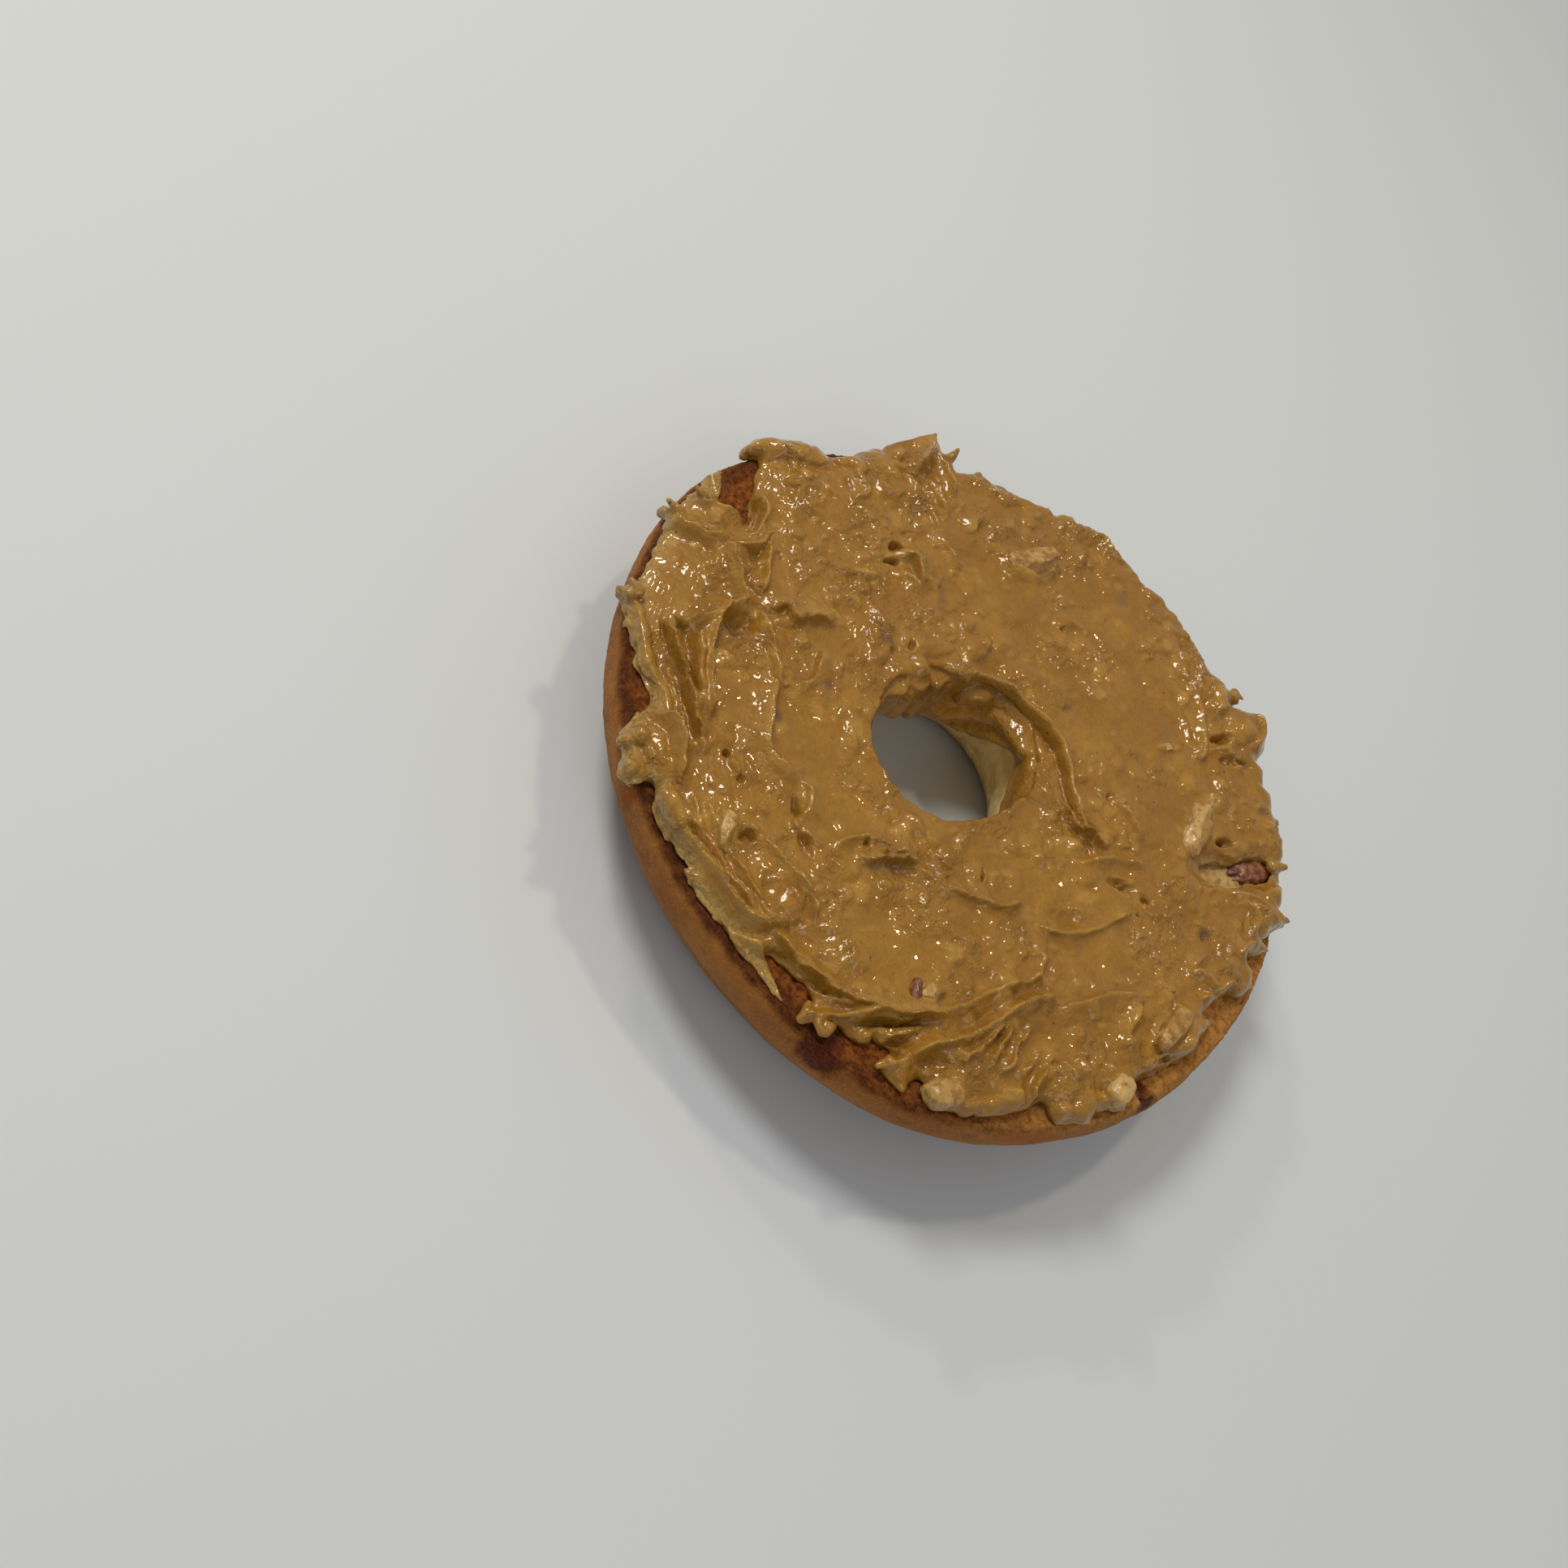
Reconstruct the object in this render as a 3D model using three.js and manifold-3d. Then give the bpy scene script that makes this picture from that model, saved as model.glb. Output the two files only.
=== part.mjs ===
// The lower half of a sliced bagel, cut side up, under a thick layer of crunchy peanut butter.
// Millimetres, +Z up. Origin: the middle of the footprint, on the surface that the half rests on.
// Two solids: the bread, a flat-bottomed ring, and the peanut butter on its cut face, which has the
// knife's ridges, the lumps, hollows and pulled-up tips in its surface and the nut pieces fused to it.
import * as THREE from "three";
import { mergeVertices } from "three/addons/utils/BufferGeometryUtils.js";
import Module from "manifold-3d";

const wasm = await Module();
wasm.setup();

// ---- driving dimensions ----
const CENTRE = [1.1, -0.1]; // the cut face's own centre, from the middle of the footprint
const HALF_HEIGHT = 18; // from the base to the cut face
const CUT_RADII = [51.3, 53.0, 53.2, 51.5, 51.8, 51.0, 53.5, 52.1, 51.5, 51.2, 53.0, 51.9]; // every 30 degrees
const CRUST_BULGE = 1.1; // how far the side stands out past the cut edge
const BULGE_DEPTH = 9; // depth below the cut face at which the bulge is over
const BASE_RADIUS = 37; // outer radius of the flat underside
const HOLE = { x: -3, y: -2.5, a: 12.3, b: 15.2 }; // centre and half sizes at the cut face
const HOLE_FLARE = 6.5; // how much wider the hole is at the underside
const GAP = 0.3; // clearance between the bread and the peanut butter
const THICKNESS = 2.7; // of the peanut butter, without its ridges
const EDGE_HEIGHT = 1; // height above the cut face at which the peanut butter reaches furthest out
const EDGE_UNDERCUT = 0.8; // how far its foot stays behind that
const SMEAR = { thick: 1.3, least: 1.3, most: 8, middle: 100, half: 62 }; // down the hole's wall, in degrees

const BREAD_COLUMNS = 90;
const HOLE_COLUMNS = 60;
const SIDE_STEPS = 7;
const WALL_STEPS = 6;
const TOP_CELL = 1.45; // size of a cell of the peanut butter's surface
const SPAN = { outer: 52, inner: 14 }; // mean radii of that surface's first and last loops
const FIRST_SHARE = 0.008; // how far in from the edge the surface's first loop lies, as a share
const FLOOR = HALF_HEIGHT + GAP;

const { degToRad: rad, lerp, smoothstep: smooth } = THREE.MathUtils;

// ---- shared shapes ----

// Values at even angles round a circle, joined by a smooth closed curve.
function around(values, degrees) {
  const n = values.length;
  const t = ((((degrees % 360) + 360) % 360) / 360) * n;
  const i = Math.floor(t);
  const [a, b, c, d] = [i - 1, i, i + 1, i + 2].map((k) => values[(k + n) % n]);
  const f = t - i;
  return b + 0.5 * f * (c - a + f * (2 * a - 5 * b + 4 * c - d + f * (3 * (b - c) + d - a)));
}

const cutRadius = (degrees) => around(CUT_RADII, degrees);

const polar = (radius, degrees) => [radius * Math.cos(rad(degrees)), radius * Math.sin(rad(degrees))];

// A point of the hole's outline, moved out by a distance. The angle is seen from the hole's own centre.
function holePoint(degrees, out) {
  const t = rad(degrees);
  return [HOLE.x + (HOLE.a + out) * Math.cos(t), HOLE.y + (HOLE.b + out) * Math.sin(t)];
}

// How much wider the hole is at a depth below the cut face.
function flare(depth) {
  return HOLE_FLARE * (1 - (1 - Math.min(depth / HALF_HEIGHT, 1) ** 2) ** 0.4);
}

// A smooth unevenness between about -1 and 1, the same at each run.
function uneven(x, y, size) {
  const [u, v] = [x / size, y / size];
  return 0.5 * Math.sin(1.7 * u + 0.9 * v + 0.4) + 0.3 * Math.sin(2.9 * v - 1.3 * u + 2.1) +
    0.2 * Math.sin(3.7 * u + 2.3 * v + 5.2);
}

function seeded(seed) {
  let state = seed;
  return () => {
    state = (state * 1664525 + 1013904223) % 4294967296;
    return state / 4294967296;
  };
}

// A closed loop of points at even angles.
const loop = (count, point) => Array.from({ length: count }, (_, i) => point((i * 360) / count));

// The closed surface through a chain of loops, the last joined to the first. The chain runs down the
// outside and up the hole, and neighbouring loops may have different numbers of points.
function chainGeometry(loops) {
  const starts = loops.map((_, i) => loops.slice(0, i).reduce((sum, points) => sum + points.length, 0));
  const index = [];
  loops.forEach((points, i) => {
    const j = (i + 1) % loops.length;
    const [n, m] = [points.length, loops[j].length];
    let [a, b] = [0, 0];
    while (a < n || b < m) {
      const stepsOnA = b === m || (a < n && (a + 1) * m <= (b + 1) * n);
      const [pa, pb] = [starts[i] + (a % n), starts[j] + (b % m)];
      if (stepsOnA) a += 1;
      else b += 1;
      index.push(pa, pb, stepsOnA ? starts[i] + (a % n) : starts[j] + (b % m));
    }
  });
  const geometry = new THREE.BufferGeometry();
  geometry.setAttribute("position", new THREE.Float32BufferAttribute(loops.flat(2), 3));
  geometry.setIndex(index);
  return geometry.translate(...CENTRE, 0);
}

// ---- bread ----

// A point of the crust: share 0 is the cut edge, 1 the rim of the flat underside.
function crustPoint(degrees, share) {
  const phi = (share * Math.PI) / 2;
  const depth = HALF_HEIGHT * Math.sin(phi) ** 1.1;
  const bulge = CRUST_BULGE * Math.sin(Math.PI * Math.min(depth / BULGE_DEPTH, 1));
  const wave = 0.25 * uneven(...polar(50, degrees), 9) * Math.sin(2 * phi);
  const radius = BASE_RADIUS + (cutRadius(degrees) - BASE_RADIUS) * Math.cos(phi) ** 0.72 + bulge + wave;
  return [...polar(radius, degrees), HALF_HEIGHT - depth];
}

function wallPoint(degrees, share) {
  const depth = HALF_HEIGHT * Math.sin((share * Math.PI) / 2);
  return [...holePoint(degrees, flare(depth)), HALF_HEIGHT - depth];
}

function bread() {
  const loops = [];
  for (let k = 0; k <= SIDE_STEPS; k++) {
    loops.push(loop(BREAD_COLUMNS, (degrees) => crustPoint(degrees, k / SIDE_STEPS)));
  }
  for (let k = WALL_STEPS; k >= 0; k--) {
    loops.push(loop(HOLE_COLUMNS, (degrees) => wallPoint(degrees, k / WALL_STEPS)));
  }
  return chainGeometry(loops);
}

// ---- peanut butter: its outline ----

// How far in from the cut edge it ends, every 10 degrees. Below zero it hangs over the edge.
const EDGE_INSET = [
  4.3, 3.4, 2.4, 1.4, 1.6, 1.2, -2.0, -1.0, 0.6, 0.4, -0.3, 0.4,
  1.0, 1.2, 1.4, 1.2, 0.6, -2.0, 4.6, 1.3, 0.9, 1.0, 3.2, 2.2,
  -0.6, 0.8, 2.4, 3.4, 3.2, 2.4, 1.0, 1.2, 1.4, 1.4, 2.6, 4.2,
];

// Tips pulled out at the rim: [degrees, how far past the edge, half width in degrees, how far up].
const TIPS = [
  [138.3, 5.0, 2.4, 1.2], [134.0, 3.0, 1.7, 0.6], [128.5, 1.6, 1.7, 0.4], [110.5, 1.6, 1.8, 0.6],
  [117.5, 1.2, 1.7, 0.3], [26.3, 3.4, 2.2, 0.2], [18.4, 2.6, 2.0, 0.6], [-166.0, 2.8, 2.2, 0.3],
  [-171.5, 2.8, 2.0, 0.2], [-63.5, 2.8, 2.4, 0.4], [-75.0, 2.4, 2.0, 0.4], [-38.0, 1.8, 2.2, 0.2],
  [-55.5, 2.0, 2.2, 0.4], [64.0, 1.2, 2.2, 0.4], [-104.0, 1.4, 2.2, 0.2],
];

const TIP_ROOT = 0.12; // how far in a tip reaches, as a share of the way to the hole

// Sum over the tips of one of their values, faded out to each side.
function tipSum(degrees, column) {
  return TIPS.reduce((sum, tip) => {
    const away = Math.abs(((degrees - tip[0] + 540) % 360) - 180) / tip[2];
    return sum + tip[column] * Math.max(0, 1 - away) ** 0.8;
  }, 0);
}

const edgeRadius = (degrees) => cutRadius(degrees) - around(EDGE_INSET, degrees);

// ---- peanut butter: its surface ----

// Ridges and curls that the knife left: a path, its width and how far it stands up.
const STROKES = [
  [[[-10, 8.8], [-4, 12.8], [3, 13.6], [9.5, 11.2], [14.5, 7], [21, 4.5]], 3.4, 1.9], // the hole's far side
  [[[-52, -8.5], [-46, -10.5], [-41, -14], [-38, -21]], 3.0, 1.5],
  [[[-44, 1], [-41, -4], [-40, -12]], 2.6, 1.2],
  [[[-38, -11], [-34, -16], [-27, -19], [-21, -23]], 2.6, 1.1],
  [[[-22, -12], [-21.5, -20], [-18, -28]], 2.4, 1.0],
  [[[-38, -21], [-33, -26], [-26, -34], [-18, -39]], 3.0, 1.4],
  [[[-40, -26], [-33, -33], [-25, -38.5]], 3.0, 1.6],
  [[[-27, -43], [-14, -46.5], [0, -45.5], [12, -43], [19, -38]], 3.6, 2.3], // along the near rim
  [[[-17, -44], [-6, -45], [2, -43.5]], 2.8, 1.2],
  [[[7, -48.5], [13, -45], [19, -38], [25, -31]], 2.6, 1.8], // a fan of ridges from here on
  [[[12, -50.5], [15, -46], [19, -40]], 2.6, 1.8],
  [[[22, -48], [21, -43], [22, -37]], 2.8, 1.8],
  [[[28, -46], [26, -40], [26.5, -33]], 2.6, 1.4],
  [[[33, -41], [30, -35], [30.5, -28]], 2.6, 1.3],
  [[[38, -34], [35, -30], [34, -24]], 2.6, 1.3],
  [[[42, -28], [38, -24], [37, -17]], 2.6, 1.2],
  [[[3, -19.5], [11, -20.5], [17, -16.5], [24, -15]], 2.4, 1.0],
  [[[-2, -31], [1, -26], [4, -22.5]], 2.4, 1.3],
  [[[22, 36], [28, 36.5], [34, 31]], 2.8, 1.3],
  [[[14, 48], [18, 40], [24, 36]], 3.0, 1.2],
  [[[28, 25], [34, 27], [41, 33]], 2.8, 1.4],
  [[[38, 19], [43, 27], [42, 33]], 2.8, 1.4],
  [[[36, 16], [42, 18], [47, 22]], 2.6, 1.2],
  [[[-38, 36], [-33, 28], [-29, 22]], 3.2, 1.6],
  [[[-42, 30], [-36, 25], [-32, 18]], 3.0, 1.3],
  [[[-24, 13], [-19, 15], [-14, 12]], 2.8, 1.0],
].map(([path, width, height]) => {
  const curve = new THREE.CatmullRomCurve3(path.map(([x, y]) => new THREE.Vector3(x, y, 0)));
  return { points: curve.getSpacedPoints(Math.ceil(curve.getLength())), width, height };
});

// Smooth lumps: [x, y, length, width, turned by degrees, height].
const LUMPS = [
  [-38, -32, 17, 5, 148, 2.4], [-24.5, -41.5, 14, 9, 158, 2.6], [-48, -12, 9, 4.6, 20, 1.6],
  [-51, 7.5, 10, 8, 70, 1.6], [-45, 17, 8, 6, 60, 1.4], [-11.7, 13.5, 7, 6, 110, 1.2],
  [-15.5, 7, 7, 5, 70, 1.3], [24.8, 47, 10, 8, 65, 2.2], [14, 47, 9, 7, 160, 1.3],
  [-9, 49.5, 9, 5, 170, 1.1], [-17, -3, 4.6, 9, 15, 1.4], [-27, 1, 8, 5, 20, 0.8],
  [10, 2, 6, 5, 100, 1.0], [27, 8, 7, 5, 20, 0.8], [38, 6, 8, 6, 80, 0.8],
  [24, -9, 7, 5, 150, 0.8], [-32, 9, 8, 6, 60, 1.0], [41, -19, 9, 5, 70, 1.2],
];

// Hollows and torn pits: the same values, the last being the depth.
const PITS = [
  [-29.5, 11.5, 4.4, 3, 60, 1.4], [-5.5, 28, 3.6, 3, 70, 1.1], [35.5, 17.5, 6.4, 4, 25, 1.9],
  [33.8, 24, 4.4, 3, 80, 1.6], [22.5, 39, 3.6, 5, 30, 1.9], [27.5, 38, 6, 3, 35, 1.6],
  [16.5, 11, 4, 3, 100, 1.2], [-32, -13, 5, 3, 150, 1.3], [-9.5, -32.5, 4.4, 3, 160, 1.3],
  [-5.5, -35, 5.4, 3.4, 165, 1.3], [-18, -35.5, 5.4, 3, 160, 1.2], [-9.5, -41.5, 4, 3, 120, 1.6],
  [12, -15.5, 4.4, 2.6, 120, 1.3], [37.8, -33, 3.6, 3, 20, 1.8], [-33, -18.5, 5, 5.6, 160, 1.2],
  [-45, 28, 4, 6, 40, 1.1], [5, -51, 9, 3, 5, 1.4], [25, -35.5, 3, 5, 10, 1.1], [17, -44, 3, 4, 150, 1.2],
];

// Nut pieces, pressed in so that their tops show: the same values, the last being how far they stand out.
const NUTS = [
  [-16, 33.5, 10.5, 3.8, 80, 0.8], [30.2, 21.5, 7, 4.6, 110, 1.2], [29, 30.5, 4.6, 3.4, 60, 0.9],
  [28.5, -42, 5, 4.6, 20, 1.6], [34, -34.5, 4.4, 3.4, 70, 1.0], [43.3, -22, 5, 3.4, 75, 1.0],
  [44.2, -6.5, 8, 3.4, 95, 1.2], [-13, -41.5, 4.6, 3.6, 115, 1.3], [8.5, -41.5, 5.4, 3.4, 25, 0.8],
  [4, -33, 5, 4, 20, 0.8], [17.3, -27.3, 3.6, 2.8, 150, 1.0], [18.3, -35.3, 3.6, 2.8, 30, 0.9],
  [18, 29, 4.2, 2.6, 60, 0.8], [5.5, 25, 4, 2.8, 20, 0.7], [13.5, 40, 4.6, 2.8, 110, 0.8],
  [-26, 29.5, 3.6, 2.8, 135, 0.9], [-27, -7, 4.4, 2.8, 20, 0.8], [-4, 44, 4.4, 3.2, 160, 0.7],
  [-7, 34, 6, 4, 170, 0.7], [40, 26.5, 5, 3.2, 50, 1.1], [1.5, -22.5, 3.6, 3, 150, 0.8],
  [-30, -25, 3, 2.6, 40, 0.8], [-17.5, -14, 3.4, 2.6, 20, 0.8], [0, 18, 3, 2.4, 80, 0.7],
];
const NUT_DEPTH = 1.4; // how far they go in
const NUT_ROUGHNESS = 0.25;

// 1 in the middle of an ellipse, 0 from its edge on.
function dome(x, y, [cx, cy, length, width, degrees]) {
  const [dx, dy] = [x - cx, y - cy];
  const [c, s] = polar(1, degrees);
  const q = ((dx * c + dy * s) / (length / 2)) ** 2 + ((dy * c - dx * s) / (width / 2)) ** 2;
  return q < 1 ? (1 - q) ** 0.6 : 0;
}

// Height of a stroke at a point: a rounded ridge that runs out at both ends.
function ridge(x, y, { points, width, height }) {
  let [nearest, share] = [Infinity, 0];
  points.forEach((point, i) => {
    const distance = Math.hypot(point.x - x, point.y - y);
    if (distance < nearest) [nearest, share] = [distance, i / (points.length - 1)];
  });
  if (nearest > width) return 0;
  const taper = Math.min(1, 0.3 + 4 * share, 0.3 + 4 * (1 - share));
  return height * taper * Math.exp(-((nearest / (width * 0.55)) ** 2));
}

function surfaceHeight(x, y) {
  const sheet = THICKNESS + 0.35 * uneven(x, y, 5.5) + 0.25 * uneven(y + 40, x - 15, 2.6);
  const raised = [...STROKES.map((stroke) => ridge(x, y, stroke)), ...LUMPS.map((at) => at[5] * dome(x, y, at))];
  const sunk = PITS.map((at) => at[5] * dome(x, y, at));
  return Math.max(1, sheet + Math.max(...raised) - Math.max(...sunk));
}

// How far down the hole's wall it is smeared: furthest at the middle of the smear.
function smearDepth(degrees) {
  const away = Math.abs(((degrees - SMEAR.middle + 540) % 360) - 180);
  const share = 1 - smooth(away, SMEAR.half * 0.5, SMEAR.half * 1.3);
  return lerp(SMEAR.least, SMEAR.most, share) + 0.4 * uneven(degrees / 4, 7, 3);
}

// A point in plan between the outer edge, share 0, and the hole's lip, share 1.
function planPoint(degrees, share) {
  const tip = tipSum(degrees, 1) * (1 - smooth(share, 0, TIP_ROOT));
  const outer = polar(edgeRadius(degrees), degrees);
  const inner = holePoint(degrees, -GAP - SMEAR.thick);
  const [dx, dy] = polar(tip, degrees);
  return [lerp(outer[0], inner[0], share) + dx, lerp(outer[1], inner[1], share) + dy];
}

function topPoint(degrees, share) {
  const [x, y] = planPoint(degrees, share);
  const shoulder = Math.min(1, 0.6 + 9 * share, 0.7 + 8 * (1 - share)); // rounds off the edge and the lip
  const lift = tipSum(degrees, 3) * (1 - smooth(share, 0, TIP_ROOT));
  return [x, y, FLOOR + Math.max(EDGE_HEIGHT + 0.4, surfaceHeight(x, y) * shoulder + lift)];
}

// Down the outer edge, in along the cut face, down and back up the smear, and out over the top.
function sheetGeometry() {
  const rows = Math.round((SPAN.outer - SPAN.inner) / TOP_CELL);
  const columns = (share) => Math.round((2 * Math.PI * lerp(SPAN.outer, SPAN.inner, share)) / TOP_CELL);
  const lip = columns(1);
  const lift = (degrees) => 0.6 * tipSum(degrees, 3);
  const loops = [
    loop(columns(0), (degrees) => [...planPoint(degrees, 0), FLOOR + EDGE_HEIGHT + lift(degrees)]),
    loop(columns(0), (degrees) => [...polar(edgeRadius(degrees) - EDGE_UNDERCUT, degrees), FLOOR]),
    loop(lip, (degrees) => [...holePoint(degrees, -GAP), FLOOR]),
  ];
  for (const [share, thick] of [[0.5, 0], [1, 0.2], [1, SMEAR.thick * 0.6], [0.5, SMEAR.thick]]) {
    loops.push(loop(lip, (degrees) => {
      const depth = smearDepth(degrees) * share;
      return [...holePoint(degrees, flare(depth) - GAP - thick), HALF_HEIGHT - depth];
    }));
  }
  for (let k = rows; k >= 0; k--) {
    const share = lerp(FIRST_SHARE, 1, k / rows);
    loops.push(loop(columns(share), (degrees) => topPoint(degrees, share)));
  }
  return chainGeometry(loops);
}

// A rough twenty-sided piece, set in the surface.
function nutGeometry([x, y, length, width, degrees, height], random) {
  const geometry = new THREE.IcosahedronGeometry(1, 0);
  for (const name of ["normal", "uv"]) geometry.deleteAttribute(name);
  const merged = mergeVertices(geometry, 1e-3);
  const position = merged.attributes.position;
  for (let i = 0; i < position.count; i++) {
    const grow = 1 + NUT_ROUGHNESS * (random() - 0.5);
    const up = position.getZ(i) * (position.getZ(i) > 0 ? height : NUT_DEPTH);
    position.setXYZ(i, position.getX(i) * grow * length / 2, position.getY(i) * grow * width / 2, up);
  }
  merged.rotateZ(rad(degrees));
  return merged.translate(CENTRE[0] + x, CENTRE[1] + y, FLOOR + surfaceHeight(x, y));
}

function solidOf(geometry) {
  return new wasm.Manifold(new wasm.Mesh({
    numProp: 3,
    vertProperties: new Float32Array(geometry.attributes.position.array),
    triVerts: new Uint32Array(geometry.index.array),
  }));
}

function peanutButter() {
  const random = seeded(11);
  let solid = solidOf(sheetGeometry());
  for (const nut of NUTS) solid = solid.add(solidOf(nutGeometry(nut, random)));
  const mesh = solid.getMesh();
  const geometry = new THREE.BufferGeometry();
  geometry.setAttribute("position", new THREE.BufferAttribute(mesh.vertProperties, 3));
  geometry.setIndex(new THREE.BufferAttribute(mesh.triVerts, 1));
  return geometry;
}

// ---- the model ----

function part(name, geometry, material) {
  geometry.computeVertexNormals();
  const mesh = new THREE.Mesh(geometry, new THREE.MeshStandardMaterial(material));
  mesh.name = name;
  return mesh;
}

const bagel = new THREE.Group();
bagel.add(
  part("bread", bread(), { color: 0xb07a48, roughness: 0.75, metalness: 0 }),
  part("peanut_butter", peanutButter(), { color: 0xa9773c, roughness: 0.35, metalness: 0 }),
);

export default bagel;
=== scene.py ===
"""The looks of half a sliced bagel under crunchy peanut butter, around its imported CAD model.

Shapes are worked out in millimetres on numpy grids, from the cut face's own centre, and turned into
metres in the CAD's frame when their meshes are made. Heights of the topping count from the cut face.
Directions are degrees round the bagel, anticlockwise from x.
"""

import itertools
import math

import bmesh
import bpy
import numpy as np
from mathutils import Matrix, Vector


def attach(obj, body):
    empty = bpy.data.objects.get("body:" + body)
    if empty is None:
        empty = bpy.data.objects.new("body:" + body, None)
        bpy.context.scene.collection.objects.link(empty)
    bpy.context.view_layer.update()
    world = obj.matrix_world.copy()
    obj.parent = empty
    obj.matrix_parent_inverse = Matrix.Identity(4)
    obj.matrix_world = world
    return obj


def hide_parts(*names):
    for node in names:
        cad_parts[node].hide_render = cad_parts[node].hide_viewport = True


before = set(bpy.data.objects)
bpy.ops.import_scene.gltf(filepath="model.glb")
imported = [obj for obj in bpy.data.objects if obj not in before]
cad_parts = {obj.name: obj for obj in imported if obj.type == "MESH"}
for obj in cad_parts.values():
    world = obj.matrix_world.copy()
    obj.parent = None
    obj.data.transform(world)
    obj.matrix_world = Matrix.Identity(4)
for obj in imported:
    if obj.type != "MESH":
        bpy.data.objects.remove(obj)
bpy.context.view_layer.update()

MM = 0.001
CENTRE = (1.1, -0.1)  # the cut face's own centre in the CAD's frame
CUT = 18.0  # height of the cut face
CUT_RADII = (51.3, 53.0, 53.2, 51.5, 51.8, 51.0, 53.5, 52.1, 51.5, 51.2, 53.0, 51.9)  # every 30 degrees
MEAN_RADIUS = 52.0
CRUST_BULGE = 1.1  # how far the crust stands out below the rim
BULGE_DEPTH = 9.0
BASE_RADIUS = 37.0
HOLE_X, HOLE_Y, HOLE_A, HOLE_B = -3.0, -2.5, 12.3, 15.2  # middle and half axes on the cut face
HOLE_FLARE = 6.5  # how much wider the hole is at the base
THICKNESS = 2.9  # of the topping between its ridges

# ---------------------------------------------------------------- noise and small helpers

noise_rng = np.random.default_rng(7)
ORDER = np.concatenate([noise_rng.permutation(256)] * 2)
GRADIENTS = noise_rng.normal(size=(256, 3))
GRADIENTS /= np.linalg.norm(GRADIENTS, axis=1, keepdims=True)
CORNERS = list(itertools.product((0, 1), repeat=3))  # of a unit cube


def noise(x, y, z=0.0):
    """Gradient noise between about -1 and 1, with spots of about one unit."""
    x, y, z = np.broadcast_arrays(*(np.asarray(v, float) for v in (x, y, z)))
    xi, yi, zi = (np.floor(v).astype(int) for v in (x, y, z))
    xf, yf, zf = x - xi, y - yi, z - zi
    u, v, w = (t * t * t * (t * (t * 6 - 15) + 10) for t in (xf, yf, zf))
    total = 0.0
    for i, j, k in CORNERS:
        a = ORDER[(xi + i) & 255]
        b = ORDER[(a + yi + j) & 255]
        g = GRADIENTS[ORDER[(b + zi + k) & 255]]
        dot = g[..., 0] * (xf - i) + g[..., 1] * (yf - j) + g[..., 2] * (zf - k)
        weight = (u if i else 1 - u) * (v if j else 1 - v) * (w if k else 1 - w)
        total = total + weight * dot
    return 1.5 * total


def fbm(x, y, z=0.0, octaves=3):
    """Noise with finer and weaker noise added to it."""
    return sum(0.5**o * noise(x * 2**o, y * 2**o, z * 2**o + 17.3 * o) for o in range(octaves))


def smoothstep(x, low, high):
    """0 up to one value, 1 from the other on, and a smooth rise between."""
    t = np.clip((x - low) / (high - low), 0, 1)
    return t * t * (3 - 2 * t)


def fade(x, full, gone):
    """1 up to one value, 0 from the other on."""
    return 1 - smoothstep(x, full, gone)


def band(x, a, b, c, d):
    """0 up to a, 1 from b to c, 0 again from d on."""
    return smoothstep(x, a, b) * fade(x, c, d)


def smax(a, b, k):
    """The larger of two values, blended where they are closer than k."""
    h = np.clip(0.5 + 0.5 * (a - b) / k, 0, 1)
    return b + (a - b) * h + k * h * (1 - h)


def smin(a, b, k):
    """The smaller of two values, blended in the same way."""
    return -smax(-a, -b, k)


def dome(q, power):
    """1 in the middle of a dome, 0 from its edge (q = 1) on. A low power makes it blunt."""
    return np.clip(1 - q * q, 0, 1) ** power


def bell(x, width):
    """1 in the middle, falling off on both sides."""
    return np.exp(-((x / width) ** 2))


def between(a, b, c, d, t):
    """A smooth curve from b (t = 0) to c (t = 1) that comes from a and goes on to d."""
    return b + 0.5 * t * (c - a + t * (2 * a - 5 * b + 4 * c - d + t * (3 * (b - c) + d - a)))


def around(values, degrees):
    """Values at even angles round a circle, joined by a smooth closed curve."""
    table, n = np.array(values), len(values)
    t = np.mod(degrees, 360) / 360 * n
    i = np.floor(t).astype(int)
    return between(*(table[(i + k) % n] for k in (-1, 0, 1, 2)), t - i)


def turned(x, y, degrees):
    """A point turned anticlockwise round the origin."""
    c, s = math.cos(math.radians(degrees)), math.sin(math.radians(degrees))
    return c * x - s * y, s * x + c * y


def flare(depth):
    """How much wider the hole is at a depth below the cut face."""
    return HOLE_FLARE * (1 - (1 - np.clip(depth / CUT, 0, 1) ** 2) ** 0.4)


def hole_distance(x, y):
    """Distance outside the hole's outline at the cut face; below zero inside it."""
    dx, dy = x - HOLE_X, y - HOLE_Y
    q = np.hypot(dx / HOLE_A, dy / HOLE_B) + 1e-6
    slope = np.hypot(dx / HOLE_A**2, dy / HOLE_B**2) / q
    return (q - 1) / (slope + 1e-6)


# ---------------------------------------------------------------- the topping's features

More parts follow.
